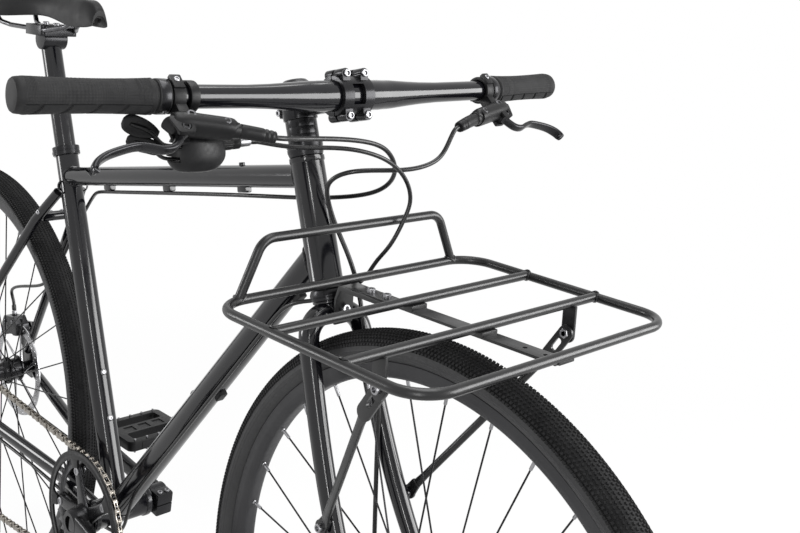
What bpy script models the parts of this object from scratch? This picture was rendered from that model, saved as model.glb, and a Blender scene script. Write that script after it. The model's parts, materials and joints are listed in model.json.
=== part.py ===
"""City bike with a front carrier, disc brakes and one chainring, as separate pieces.

X runs forward, Y to the rider's left and Z up, in metres. The origin is on the
ground, half way between the two axles.
"""

from math import asin, atan2, cos, pi, radians, sin, sqrt

import bmesh
import bpy
from mathutils import Matrix, Vector

# Driving sizes
WHEELBASE = 1.0328
TYRE_R = 0.3492          # outside of the tyre
RIM_TOP = 0.3178         # top of the rim's hooks
RIM_IN = 0.2994          # spoke side of the rim
RIM_HALF = 0.0120
HEAD_ANGLE = 71.06       # from the ground, in degrees
RAKE = 0.0531
SEAT_ANGLE = 70.80
BB_X, BB_Z = -0.0866, 0.2856
HEAD_LOW, HEAD_TOP = 0.3949, 0.5384   # along the steering axis
STEM_LOW, STEM_TOP = 0.5790, 0.6156
BAR_T, BAR_N = 0.5880, 0.0828
BAR_HALF = 0.3394
SWEEP = 0.0135            # how far the bar's ends lie behind its middle
BAR_BEND = 0.2000         # where the sweep starts, from the middle
GAP = 0.0003
CORD_STRAY = 0.0009      # how far a cord's straight pieces leave its curve
CRANK = 0.170
CRANK_TURN = -7.0        # right crank arm, from straight ahead
PITCH = 0.0127
RING_T, COG_T, JOCKEY_T = 42, 21, 11
CHAIN_Y = -0.0435
RACK_W = 0.1716
RACK_X = (0.3808, 0.4716, 0.5654, 0.6589)
TUBE_R = 0.0048

FRONT = Vector((WHEELBASE / 2, 0, TYRE_R))
REAR = Vector((-WHEELBASE / 2, 0, TYRE_R))
BB = Vector((BB_X, 0, BB_Z))
UP = Vector((-cos(radians(HEAD_ANGLE)), 0, sin(radians(HEAD_ANGLE))))
OUT = Vector((sin(radians(HEAD_ANGLE)), 0, cos(radians(HEAD_ANGLE))))
STEER = FRONT - OUT * RAKE
SEAT = Vector((-cos(radians(SEAT_ANGLE)), 0, sin(radians(SEAT_ANGLE))))
X, Y, Z = Vector((1, 0, 0)), Vector((0, 1, 0)), Vector((0, 0, 1))


def steer(t, n=0.0, y=0.0):
    """A point t up the steering axis, n ahead of it and y to the left."""
    return STEER + UP * t + OUT * n + Y * y


def wipe():
    for obj in list(bpy.data.objects):
        bpy.data.objects.remove(obj)


MATERIALS = {}


def material(kind):
    looks = {
        "paint": ((0.012, 0.012, 0.014), 0.0, 0.12),
        "satin": ((0.02, 0.02, 0.022), 0.2, 0.38),
        "anodised": ((0.03, 0.03, 0.033), 0.7, 0.35),
        "steel": ((0.55, 0.55, 0.56), 1.0, 0.25),
        "rubber": ((0.025, 0.025, 0.027), 0.0, 0.75),
        "plastic": ((0.022, 0.022, 0.024), 0.0, 0.45),
        "chain": ((0.42, 0.38, 0.33), 1.0, 0.3),
        "cover": ((0.018, 0.018, 0.018), 0.0, 0.6),
    }
    if kind not in MATERIALS:
        colour, metal, rough = looks[kind]
        made = bpy.data.materials.new(kind)
        made.use_nodes = True
        shader = made.node_tree.nodes["Principled BSDF"]
        shader.inputs["Base Color"].default_value = (*colour, 1)
        shader.inputs["Metallic"].default_value = metal
        shader.inputs["Roughness"].default_value = rough
        MATERIALS[kind] = made
    return MATERIALS[kind]


def solid(name, points, faces, kind="satin"):
    """A closed mesh object from points and faces, with its normals turned out."""
    mesh = bpy.data.meshes.new(name)
    mesh.from_pydata([tuple(p) for p in points], [], faces)
    work = bmesh.new()
    work.from_mesh(mesh)
    bmesh.ops.recalc_face_normals(work, faces=work.faces)
    work.to_mesh(mesh)
    work.free()
    obj = bpy.data.objects.new(name, mesh)
    bpy.context.scene.collection.objects.link(obj)
    mesh.materials.append(material(kind))
    return obj


def combine(obj, others, how="UNION"):
    """Joins the others to obj, or cuts them from it, and removes them."""
    for other in others:
        other.hide_render = True
        other.display_type = "WIRE"
        step = obj.modifiers.new("join", "BOOLEAN")
        step.operation = how
        step.solver = "EXACT"
        step.object = other
        bpy.context.view_layer.objects.active = obj
        bpy.ops.object.modifier_apply(modifier=step.name)
        bpy.data.objects.remove(other)
    return obj


def cut(obj, others):
    return combine(obj, others, "DIFFERENCE")


def pivot(obj, at):
    """Moves the object's origin to a point of its joint's axis."""
    obj.data.transform(Matrix.Translation(-at))
    obj.location = at
    return obj


def ring_faces(count, segs, closed):
    faces = []
    for i in range(count if closed else count - 1):
        j = (i + 1) % count
        for k in range(segs):
            m = (k + 1) % segs
            faces.append((i * segs + k, i * segs + m, j * segs + m, j * segs + k))
    if not closed:
        faces.append(tuple(range(segs)))
        faces.append(tuple((count - 1) * segs + k for k in range(segs)))
    return faces


def tube(name, path, radii, segs=12, side=Y, kind="satin", closed=False):
    """A bar along a path. Each radius is a number, or (across, along side)."""
    path = [Vector(p) for p in path]
    if not isinstance(radii, (list, tuple)) or len(radii) != len(path):
        radii = [radii] * len(path)
    points = []
    last = len(path) - 1
    for i, (p, r) in enumerate(zip(path, radii)):
        before = path[i - 1] if i or closed else p
        after = path[(i + 1) % len(path)] if i < last or closed else p
        way = ((p - before).normalized() + (after - p).normalized()).normalized()
        across = side.cross(way).normalized()
        along = way.cross(across)
        a, b = (r, r) if isinstance(r, (int, float)) else r
        for k in range(segs):
            turn = 2 * pi * (k + 0.5) / segs
            points.append(p + across * (a * cos(turn)) + along * (b * sin(turn)))
    return solid(name, points, ring_faces(len(path), segs, closed), kind)


def lathe(name, profile, at, axis, segs=24, kind="satin", one=None):
    """Turns (radius, height) points about an axis; a closed loop if no radius is 0."""
    axis = Vector(axis).normalized()
    one = one or axis.orthogonal().normalized()
    two = axis.cross(one)
    whole = profile[0][0] > 0 and profile[-1][0] > 0
    rims = [(r, h) for r, h in profile if r > 0]
    points = []
    for r, h in rims:
        for k in range(segs):
            turn = 2 * pi * k / segs
            points.append(at + axis * h + one * (r * cos(turn)) + two * (r * sin(turn)))
    return solid(name, points, ring_faces(len(rims), segs, whole), kind)


def rod(name, a, b, r, segs=12, kind="steel", tip=None):
    """A straight round bar, or a cone if tip is the second radius."""
    a, b = Vector(a), Vector(b)
    end = r if tip is None else tip
    return lathe(name, [(0, 0), (r, 0), (end, (b - a).length), (0, 0)], a, b - a, segs, kind)


def sleeve(name, a, b, r_out, r_in, segs=20, kind="satin"):
    a, b = Vector(a), Vector(b)
    length = (b - a).length
    profile = [(r_out, 0), (r_out, length), (r_in, length), (r_in, 0)]
    return lathe(name, profile, a, b - a, segs, kind)


def plate(name, outline, at, ex, ey, thick, kind="satin"):
    """A flat plate from a 2D outline, centred on the plane of ex and ey."""
    ez = ex.cross(ey).normalized() * (thick / 2)
    flat = [at + ex * u + ey * v for u, v in outline]
    n = len(flat)
    points = [p - ez for p in flat] + [p + ez for p in flat]
    faces = [tuple(range(n)), tuple(range(n, 2 * n))]
    faces += [(i, (i + 1) % n, n + (i + 1) % n, n + i) for i in range(n)]
    return solid(name, points, faces, kind)


def block(name, at, size, ex=X, ey=Y, kind="satin"):
    w, d = size[0] / 2, size[1] / 2
    return plate(name, [(-w, -d), (w, -d), (w, d), (-w, d)], Vector(at), ex, ey, size[2], kind)


def corners(points, radius, steps=4, closed=False):
    """Rounds the bends of a polyline, each with its own arc of the radius."""
    points = [Vector(p) for p in points]
    made = []
    n = len(points)
    for i, p in enumerate(points):
        if not closed and i in (0, n - 1):
            made.append(p)
            continue
        a, b = (points[i - 1] - p).normalized(), (points[(i + 1) % n] - p).normalized()
        half = a.angle(b) / 2
        reach = radius / max(0.05, abs(sin(half) / cos(half)))
        middle = p + (a + b).normalized() * (radius / sin(half))
        first, last = p + a * reach - middle, p + b * reach - middle
        bend = first.angle(last)
        for k in range(steps + 1):
            t = k / steps
            spot = (first * sin(bend * (1 - t)) + last * sin(bend * t)) / sin(bend)
            made.append(middle + spot)
    return made


def smooth_path(points, stray):
    """Points on a smooth curve through the given ones, as few as keep within stray of it."""
    points = [Vector(p) for p in points]
    ends = [2 * points[0] - points[1]] + points + [2 * points[-1] - points[-2]]
    fine = []
    for a, b, c, d in zip(ends, ends[1:], ends[2:], ends[3:]):
        for k in range(16):
            t = k / 16
            fine.append(0.5 * (2 * b + (c - a) * t + (2 * a - 5 * b + 4 * c - d) * t * t
                               + (3 * b - a - 3 * c + d) * t ** 3))
    fine.append(points[-1])
    kept, i = [fine[0]], 0
    while i < len(fine) - 1:
        j = i + 1
        while j + 1 < len(fine) and strays(fine[i:j + 2]) < stray:
            j += 1
        kept.append(fine[j])
        i = j
    return kept


def strays(run):
    """How far the points of a run lie from the line between its ends."""
    way = (run[-1] - run[0]).normalized()
    return max((p - run[0]).cross(way).length for p in run)


def cord(name, points, thick, kind="rubber"):
    """A hose or housing as a bevelled curve through its route."""
    curve = bpy.data.curves.new(name, "CURVE")
    curve.dimensions = "3D"
    curve.bevel_depth = thick / 2
    curve.bevel_resolution = 2
    curve.use_fill_caps = True
    route = smooth_path(points, CORD_STRAY)
    line = curve.splines.new("POLY")
    line.points.add(len(route) - 1)
    for spot, p in zip(line.points, route):
        spot.co = (*p, 1)
    obj = bpy.data.objects.new(name, curve)
    bpy.context.scene.collection.objects.link(obj)
    curve.materials.append(material(kind))
    return obj


# Frame

TOP_HEAD = Vector((0.2983, 0, 0.8210))
TOP_SEAT = Vector((-0.2395, 0, 0.7292))
DOWN_HEAD = Vector((0.3231, 0, 0.7448))
SEAT_TOP = 0.5110


def head_tube():
    r = 0.0180
    profile = [(r + 0.0012, 0), (r + 0.0012, 0.009), (r, 0.011), (r, HEAD_TOP - HEAD_LOW - 0.0058),
               (r + 0.0010, HEAD_TOP - HEAD_LOW - 0.0050), (r + 0.0010, HEAD_TOP - HEAD_LOW),
               (0.0168, HEAD_TOP - HEAD_LOW), (0.0168, 0)]
    return lathe("head_tube", profile, steer(HEAD_LOW), UP, 16, "paint")


def headset_cup(name, low, high, flip):
    wide, seat = 0.0196, 0.0180
    span = high - low
    outer = [(wide, 0), (wide, span * 0.62), (seat, span)]
    if flip:
        outer = [(seat, 0), (wide, span * 0.38), (wide, span)]
    profile = outer + [(0.0150, span), (0.0150, 0)]
    return lathe(name, profile, steer(low), UP, 14, "anodised")


def mitre(obj, a, b, r):
    """Cuts an end of a tube to sit round another tube, a little clear of it."""
    return cut(obj, [rod("mitre", a, b, r + GAP, 20)])


DOWN_R, DOWN_R_HEAD = 0.0175, 0.0145
DOWN_CLIPS = (0.2789, 0.1373)
HOUSING = 0.0046
DOWN_CLIP = DOWN_R + HOUSING / 2 + 0.0011   # housing's centre from the down tube's centre line
CLIP_TURN = radians(40)                     # housing's place round the tube, from straight below


def top_tube():
    a, b = TOP_SEAT, TOP_HEAD
    made = tube("top_tube", [a, b], 0.0130, 12, kind="paint")
    mitre(made, steer(HEAD_LOW - 0.1), steer(HEAD_TOP + 0.1), 0.0180)
    mitre(made, BB, BB + SEAT * 0.65, 0.0150)
    way = (b - a).normalized()
    up = way.cross(Y)
    if up.z < 0:
        up = -up
    pieces = []
    for x in (-0.130, 0.018, 0.178):
        spot = a + way * ((x - a.x) / way.x)
        pieces.append(block("clip", spot - up * 0.0155, (0.016, 0.009, 0.0068), way, Y))
    spot = a + way * ((0.176 - a.x) / way.x)
    pieces.append(rod("stub", spot + up * 0.0115, spot + up * 0.0165, 0.0035, 8))
    return combine(made, pieces)


def down_tube():
    made = tube("down_tube", [BB, DOWN_HEAD], [DOWN_R, DOWN_R_HEAD], 14, kind="paint")
    mitre(made, steer(HEAD_LOW - 0.1), steer(HEAD_TOP + 0.1), 0.0180)
    mitre(made, steer(HEAD_LOW - 0.1), steer(HEAD_LOW + 0.0115), 0.0192)
    mitre(made, BB - Y * 0.06, BB + Y * 0.06, 0.0205)
    mitre(made, BB, BB + SEAT * 0.4, 0.0150)
    way = (DOWN_HEAD - BB).normalized()
    under = Vector((way.z, 0, -way.x))
    pieces = []
    for x in DOWN_CLIPS:
        spot = BB + way * ((x - BB.x) / way.x)
        pieces.append(block("clip", spot + under * 0.0165, (0.0150, 0.0100, 0.0080), way, Y))
    for x in (0.060, 0.104):
        spot = BB + way * ((x - BB.x) / way.x)
        pieces.append(rod("boss", spot - under * 0.0140, spot - under * 0.0187, 0.0045, 6))
    return combine(made, pieces)


def seat_tube():
    top = BB + SEAT * SEAT_TOP
    made = sleeve("seat_tube", BB, top, 0.0150, 0.0144, 14, "paint")
    mitre(made, BB - Y * 0.06, BB + Y * 0.06, 0.0202)
    bosses = []
    for t in (0.125, 0.189):
        spot = BB + SEAT * t
        ahead = Vector((SEAT.z, 0, -SEAT.x))
        bosses.append(rod("boss", spot + ahead * 0.0145, spot + ahead * 0.0180, 0.0045, 6))
    return combine(made, bosses)


def bottom_bracket():
    """The shell with a bearing cup screwed into each side."""
    half = [(0.0200, 0.0338), (0.0218, 0.0343), (0.0218, 0.0410), (0.0205, 0.0430)]
    profile = [(r, -h) for r, h in reversed(half)] + half + [(0.0124, 0.0430), (0.0124, -0.0430)]
    return lathe("bottom_bracket", profile, BB, Y, 16, "paint")


DROP_Y = 0.0703


def dropout(side, thick=0.0050, grow=0.0):
    """A plate with the axle's hole; the right one carries the derailleur's hanger."""
    low, high = [(0.030, -0.010), (0.014, -0.017)], [(0.014, 0.036), (0.019, 0.016), (0.034, 0.008)]
    if side < 0:
        edge = low + [(0.006, -0.034), (-0.010, -0.036), (-0.013, -0.015), (-0.018, 0.004),
                      (-0.008, 0.034)] + high
    else:
        edge = low + [(-0.013, -0.015), (-0.018, 0.004), (-0.022, 0.030), (-0.041, 0.060),
                      (-0.033, 0.073), (0.008, 0.080), (0.017, 0.071), (0.006, 0.048)] + high
    made = plate("dropout", edge, REAR + Y * (side * DROP_Y), X, Z, thick + 2 * grow, "paint")
    if grow:
        return made
    spot = REAR + Y * (side * DROP_Y)
    holes = [rod("hole", spot - Y * 0.01, spot + Y * 0.01, 0.0056, 12)]
    if side > 0:
        holes += bolt_holes(REAR_CALIPER, REAR_RADIAL, DROP_Y)
    return cut(made, holes)


def chainstay(name, side):
    path = [(BB_X, 0.0235, 0.2866), (-0.150, 0.0280, 0.2985), (-0.200, 0.0318, 0.3065),
            (-0.250, 0.0385, 0.3140), (-0.400, 0.0575, 0.3345), (-0.490, 0.0690, 0.3462)]
    radii = [(0.0120, 0.0078), (0.0115, 0.0072), (0.0110, 0.0070), (0.0105, 0.0075),
             (0.0085, 0.0080), (0.0072, 0.0070)]
    path = [Vector((x, y * side, z)) for x, y, z in path]
    made = tube(name, path, radii, 10, kind="paint")
    mitre(made, BB - Y * 0.06, BB + Y * 0.06, 0.0222)
    return combine(made, [dropout(side)])


STAY_TOP = Vector((-0.2360, 0.0150, 0.7130))
STAY_MID = Vector((-0.2840, 0.0290, 0.6600))
STAY_END = Vector((-0.5120, 0.0650, 0.3760))


def seatstay(name, side):
    path = [Vector((p.x, p.y * side, p.z)) for p in (STAY_TOP.lerp(STAY_MID, 0.10), STAY_MID, STAY_END)]
    made = tube(name, path, [0.0070, 0.0070, 0.0064], 8, kind="paint")
    mitre(made, BB, BB + SEAT * 0.6, 0.0150)
    cut(made, [dropout(side, grow=GAP)])
    spot = path[0].lerp(path[1], 0.75) + Vector((0.0025, side * 0.0030, 0.0025))
    return combine(made, [rod("boss", spot, spot + Vector((0.0025, side * 0.0075, 0.0025)), 0.0040, 6)])


def stay_bridge():
    spot = STAY_MID + (STAY_TOP - STAY_MID) * 0.08
    made = rod("stay_bridge", (spot.x, -0.0194, spot.z), (spot.x, 0.0194, spot.z), 0.0070, 10, "paint")
    return combine(made, [rod("boss", (spot.x, y, spot.z + 0.005), (spot.x, y, spot.z + 0.0085), 0.003, 6)
                          for y in (-0.008, 0.008)])


def seat_collar():
    a, b = BB + SEAT * 0.5000, BB + SEAT * 0.5125
    made = sleeve("seat_collar", a, b, 0.0182, 0.0153, 14, "anodised")
    back = Vector((-SEAT.z, 0, SEAT.x))
    spot = a.lerp(b, 0.5) + back * 0.0200
    combine(made, [block("lug", spot, (0.0090, 0.0150, 0.0110), back, Y),
                   rod("bolt", spot - Y * 0.0105, spot + Y * 0.0095, 0.0030, 6)])
    return cut(made, [block("slit", spot + back * 0.003, (0.016, 0.0012, 0.02), back, Y)])


# Seat

POST_TOP = BB + SEAT * 0.6560
RAIL_Z, RAIL_Y = 0.9330, 0.0220
RAIL_AT = Vector((POST_TOP.x - 0.002, 0, RAIL_Z))
CLAMP_Z, CLAMP_TALL = RAIL_Z - 0.0010, 0.0150


def seatpost():
    made = tube("seatpost", [BB + SEAT * 0.4000, POST_TOP], 0.0136, 12, kind="anodised")
    seat = Vector((POST_TOP.x, 0, CLAMP_Z - CLAMP_TALL / 2 - GAP))
    cradle = rod("cradle", seat - Y * 0.0170 - Z * 0.0050, seat + Y * 0.0170 - Z * 0.0050, 0.0150, 12)
    combine(made, [cradle])
    return cut(made, [block("top", seat + Z * 0.0100, (0.060, 0.050, 0.0200))])


def seat_clamp():
    """Upper and lower plates round the rails, with two bolts down into the head."""
    w = 0.0210
    edge = [(-w, -0.0290), (w, -0.0290), (w + 0.004, -0.020), (w, 0), (w + 0.004, 0.020),
            (w, 0.0290), (-w, 0.0290), (-w - 0.004, 0.020), (-w, 0), (-w - 0.004, -0.020)]
    made = plate("seat_clamp", edge, Vector((RAIL_AT.x, 0, CLAMP_Z)), X, Y, CLAMP_TALL, "anodised")
    grooves = [rod("rail", RAIL_AT + Vector((-0.05, y, 0)), RAIL_AT + Vector((0.05, y, 0)),
                   0.0035 + GAP, 8) for y in (-RAIL_Y, RAIL_Y)]
    cut(made, grooves)
    bolts = [rod("bolt", RAIL_AT + Vector((x, 0, -0.004)), RAIL_AT + Vector((x, 0, 0.0105)),
                 0.0042, 6) for x in (-0.016, 0.016)]
    return combine(made, bolts)


def saddle_rail_path(side):
    y = RAIL_Y * side
    return [(-0.4270, y * 1.40, 0.9600), (-0.4100, y * 1.25, 0.9370), (-0.3850, y, RAIL_Z),
            (-0.2750, y, RAIL_Z), (-0.2460, y * 0.38, 0.9400), (-0.2080, y * 0.20, 0.9588)]


SADDLE_BACK, SADDLE_NOSE = -0.4420, -0.1640
NOSE_ROUND = 0.115        # share of the length over which the nose rounds down


def saddle_half(x):
    """Half width of the saddle at x."""
    s = (x - SADDLE_NOSE) / (SADDLE_BACK - SADDLE_NOSE)
    s = min(1.0, max(0.0, s))
    wide = 0.0185 + 0.0560 / (1 + 2.718 ** (-14 * (s - 0.56)))
    return wide * min(1.0, 0.35 + 6.5 * s) ** 0.5 * min(1.0, 0.25 + 9 * (1 - s)) ** 0.5


def saddle_loft(name, low, high, shrink, kind, steps=11, segs=12):
    """A saddle-shaped layer between two heights, its sides turned down."""
    points = []
    for i in range(steps):
        s = 0.5 - 0.5 * cos(pi * i / (steps - 1))
        front, back = SADDLE_NOSE - shrink, SADDLE_BACK + shrink
        x = front + (back - front) * s
        half = saddle_half(x) - shrink
        rise = 0.010 * s * s
        round_nose = sqrt(max(0.06, 1 - max(0.0, 1 - s / NOSE_ROUND) ** 2))
        arched = sin(pi * min(1.0, max(0.0, (s - 0.17) / 0.50))) ** 2
        skirt = 0.0160 - 0.0085 * arched
        for k in range(segs):
            turn = 2 * pi * (k + 0.5) / segs
            u, v = cos(turn), sin(turn)
            y = half * abs(u) ** 0.8 * (1 if u > 0 else -1)
            z = (high if v > 0 else low) * abs(v) ** 0.45 * round_nose - skirt * abs(u) ** 2.2
            points.append((x, y, 0.9640 + rise + z))
    return solid(name, points, ring_faces(steps, segs, False), kind)


def saddle_base():
    """The shell under the padding, with the two rails set into it."""
    made = saddle_loft("saddle_base", -0.0052, 0.0004, 0.0112, "plastic", 8, 10)
    rails = []
    for side in (-1, 1):
        rails.append(tube("rail", corners(saddle_rail_path(side), 0.018, 1), 0.0035, 6, side=Y))
    return combine(made, rails)


def saddle_cover():
    made = saddle_loft("saddle_cover", -0.0100, 0.0200, 0.0, "cover")
    inner = saddle_loft("hollow", -0.0350, 0.0030 + GAP, 0.0060 - GAP, "cover", 8, 10)
    return cut(made, [inner])


# Fork, stem and handlebar

LEG_BEND = 0.2800        # below this height over the axle a leg curves forward
LEG_AHEAD = 0.0020       # how far its straight part lies before the steering axis
LEG_LOW_Y = 0.0530       # its distance from the middle at the axle
LEG_LEAN = 0.0475        # how much closer it comes for each metre up
BOSS_T = 0.1620          # height of the strut's boss
BOSS_OUT = 0.0140        # its face, from the leg's centre line


def leg_point(side, t):
    """A point of a fork leg's centre line, t above the axle along the steering axis."""
    bend = max(0.0, 1 - t / LEG_BEND) ** 2.4
    return steer(t, LEG_AHEAD + (RAKE - LEG_AHEAD) * bend, side * (LEG_LOW_Y - LEG_LEAN * t))


def caliper_tab():
    """The plate behind the left leg that the front brake is bolted to."""
    up = leg_point(1, 0.34) - leg_point(1, 0.012)
    up.y = 0
    up.normalize()
    back = up.cross(Y)
    if back.x > 0:
        back = -back
    edge = [(0.090, 0.018), (0.072, 0.042), (0.040, 0.067), (0.029, 0.061), (0.044, 0.034), (0.038, 0.008)]
    at = FRONT + Y * (FRONT_DISC + CALIPER_HALF + GAP + 0.0020)
    made = plate("tab", edge, at, up, back, 0.0040)
    return cut(made, bolt_holes(FRONT_CALIPER, FRONT_RADIAL, at.y))


def fork():
    """Steerer, crown, two tapered legs and their dropouts, welded into one."""
    made = rod("fork", steer(0.3700), steer(0.6145), 0.0142, 14, "paint")
    race = lathe("race", [(0, 0.3660), (0.0152, 0.3660), (0.0152, 0.3792), (0.0178, 0.3806), (0.0178, 0.3826),
                          (0, 0.3826)], STEER, UP, 14)
    pieces = [race]
    for side in (-1, 1):
        path = [steer(t, LEG_AHEAD, side * y) for t, y in
                ((0.3706, 0.0010), (0.3700, 0.0130), (0.3650, 0.0245), (0.3556, 0.0328), (0.3440, 0.0362))]
        path += [leg_point(side, t) for t in (0.3300, 0.2500, 0.1800, 0.1200, 0.0600, 0.0120)]
        radii = [(0.0114, 0.0125), (0.0114, 0.0125), (0.0112, 0.0122), (0.0106, 0.0118), (0.0102, 0.0114),
                 (0.0100, 0.0112), (0.0098, 0.0112), (0.0098, 0.0108), (0.0092, 0.0098), (0.0076, 0.0080),
                 (0.0062, 0.0064)]
        pieces.append(tube("leg", path, radii, 10, side=X))
        spot = FRONT + Y * (side * 0.0533)
        edge = [(0.010, -0.014), (-0.011, -0.012), (-0.013, 0.006), (-0.009, 0.024),
                (0.003, 0.026), (0.013, 0.008)]
        drop = plate("drop", edge, spot, X, Z, 0.0060)
        pieces.append(cut(drop, [rod("hole", spot - Y * 0.01, spot + Y * 0.01, 0.0053, 8)]))
        if side > 0:
            pieces.append(caliper_tab())
        spot = leg_point(side, BOSS_T)
        pieces.append(rod("boss", spot + Y * (side * 0.008), spot + Y * (side * BOSS_OUT), 0.0055, 8))
    combine(made, pieces)
    bore = rod("bore", steer(0.40), steer(0.62), 0.0120, 10)
    return cut(made, [bore])


def spacers():
    low, high = 0.5538, STEM_LOW - GAP
    return sleeve("steerer_spacers", steer(low), steer(high), 0.0170, 0.0146, 14, "anodised")


def top_cap():
    low = STEM_TOP + GAP
    profile = [(0, low), (0.0160, low), (0.0160, low + 0.003), (0.0125, low + 0.0065),
               (0.0050, low + 0.0075), (0.0050, low + 0.0050), (0, low + 0.0050)]
    return lathe("top_cap", profile, STEER, UP, 12, "anodised")


STEM_BACK = steer((STEM_LOW + STEM_TOP) / 2)
BAR = steer(BAR_T, BAR_N)
REACH = (BAR - STEM_BACK).normalized()
RISE = REACH.cross(Y).normalized() * -1
if RISE.z < 0:
    RISE = -RISE
PLATE_HALF = 0.0200


def bar_lugs(low, high):
    """Bolt lugs above and below the bar's clamp."""
    lugs = []
    for up in (-1, 1):
        for side in (-1, 1):
            spot = BAR + REACH * ((low + high) / 2) + RISE * (up * 0.0215) + Y * (side * 0.0118)
            lugs.append(block("lug", spot, (high - low, 0.0110, 0.0100), REACH, Y))
    return lugs


def stem():
    made = rod("stem", steer(STEM_LOW), steer(STEM_TOP), 0.0185, 16, "anodised")
    arm = tube("arm", [STEM_BACK, STEM_BACK.lerp(BAR, 0.5), BAR - REACH * 0.010],
               [(0.0165, 0.0165), (0.0150, 0.0160), (0.0165, 0.0180)], 12)
    ring = rod("ring", BAR - Y * PLATE_HALF, BAR + Y * PLATE_HALF, 0.0215, 18)
    combine(made, [arm, ring] + bar_lugs(-0.0130, -0.0008))
    back = rod("ear", STEM_BACK - REACH * 0.0200 - Y * 0.0120, STEM_BACK - REACH * 0.0200 + Y * 0.012,
               0.0065, 8)
    combine(made, [back])
    return cut(made, [rod("steerer", steer(0.55), steer(0.65), 0.0142 + GAP, 14),
                      rod("bar", BAR - Y * 0.05, BAR + Y * 0.05, 0.0159 + GAP, 16),
                      block("front", BAR + REACH * 0.0497, (0.1, 0.08, 0.1), REACH, Y),
                      block("slit", STEM_BACK - REACH * 0.022, (0.020, 0.0014, 0.06), REACH, Y)])


def faceplate():
    """The front half of the bar clamp, open between its two bands."""
    made = rod("stem_faceplate", BAR - Y * PLATE_HALF, BAR + Y * PLATE_HALF, 0.0205, 18, "anodised")
    combine(made, bar_lugs(0.0012, 0.0150))
    return cut(made, [rod("bar", BAR - Y * 0.05, BAR + Y * 0.05, 0.0159 + GAP, 16),
                      block("back", BAR - REACH * 0.0490, (0.1, 0.08, 0.1), REACH, Y),
                      block("window", BAR + REACH * 0.03, (0.05, 0.0150, 0.0210), REACH, Y)])


def bar_point(y, n=0.0, t=0.0):
    """A point of the handlebar's centre line; it rises a little and its ends sweep back."""
    back = max(0.0, abs(y) - BAR_BEND) / (BAR_HALF - BAR_BEND)
    rise = max(0.0, abs(y) - 0.045) / (BAR_HALF - 0.045)
    return BAR + Vector((n - SWEEP * back, y, 0.0050 * rise + t))


def handlebar():
    half = [(0.045, 0.0158), (0.080, 0.0134), (0.125, 0.0112), (BAR_BEND, 0.0111), (0.3340, 0.0111)]
    stations = [(-y, r) for y, r in reversed(half)] + half
    return tube("handlebar", [bar_point(y) for y, r in stations], [r for y, r in stations], 14,
                side=Z, kind="paint")


def grip(name, side):
    """A rubber sleeve with a closed end and its lock ring."""
    profile = [(0, 0.1275), (0.0119, 0.1275), (0.0119, 0), (0.0158, 0), (0.0158, 0.0110),
               (0.0148, 0.0115), (0.0148, 0.0128), (0.0166, 0.0140), (0.0152, 0.0280),
               (0.0148, 0.0650), (0.0158, 0.1220), (0.0148, 0.1290), (0.0110, 0.1314), (0, 0.1314)]
    a = bar_point(side * 0.2090)
    return lathe(name, profile, a, bar_point(side * 0.33) - a, 12, "rubber")


# Controls

DIP = radians(44)
LEVER_OUT = Vector((cos(DIP), 0, -sin(DIP)))


def lever_frame(side):
    """Along the bar, away from it and along the lever's pin."""
    along = (bar_point(side * 0.3) - bar_point(side * 0.2)).normalized()
    pin = along.cross(LEVER_OUT).normalized() * side
    return bar_point(side * 0.2), along, LEVER_OUT, -pin if pin.z < 0 else pin


def lever_point(side, y, w, h=0.0):
    at, along, out, pin = lever_frame(side)
    return at + along * (y - 0.2) + out * w + pin * h


PIN_Y, PIN_W = 0.2090, 0.0410


def brake_body(name, side):
    """Master cylinder, clamp round the bar, pin ears and the hose's rubber boot."""
    at, along, out, pin = lever_frame(side)
    spots = [(0.2290, 0.0290), (0.2260, 0.0295), (0.1640, 0.0395), (0.1600, 0.0400),
             (0.1440, 0.0440), (0.1420, 0.0443), (0.1240, 0.0490), (0.1215, 0.0496)]
    sizes = [(0.0060, 0.0075), (0.0085, 0.0105), (0.0090, 0.0110), (0.0068, 0.0070),
             (0.0066, 0.0068), (0.0074, 0.0076), (0.0066, 0.0068), (0.0050, 0.0050)]
    path = [lever_point(side, y, w, 0.0020) for y, w in spots]
    made = tube(name, path, sizes, 8, side=pin, kind="plastic")
    band = rod("band", bar_point(side * 0.1960), bar_point(side * 0.2080), 0.0160, 12)
    neck = lever_point(side, 0.2020, 0.0220)
    pieces = [band, block("neck", neck, (0.0240, 0.0110, 0.0150), out, along)]
    ear = lever_point(side, PIN_Y, PIN_W - 0.002)
    pieces.append(block("ear", ear, (0.0170, 0.0150, 0.0190), out, along))
    combine(made, pieces)
    hole = [rod("pin", lever_point(side, PIN_Y, PIN_W, -0.02), lever_point(side, PIN_Y, PIN_W, 0.02),
                0.0026, 8)]
    slot = lever_point(side, PIN_Y + 0.006, PIN_W + 0.004)
    hole.append(block("slot", slot, (0.0230, 0.0300, 0.0100), out, along))
    hole.append(rod("bar", bar_point(side * 0.19), bar_point(side * 0.21), 0.0118, 16))
    return cut(made, hole)


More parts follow.
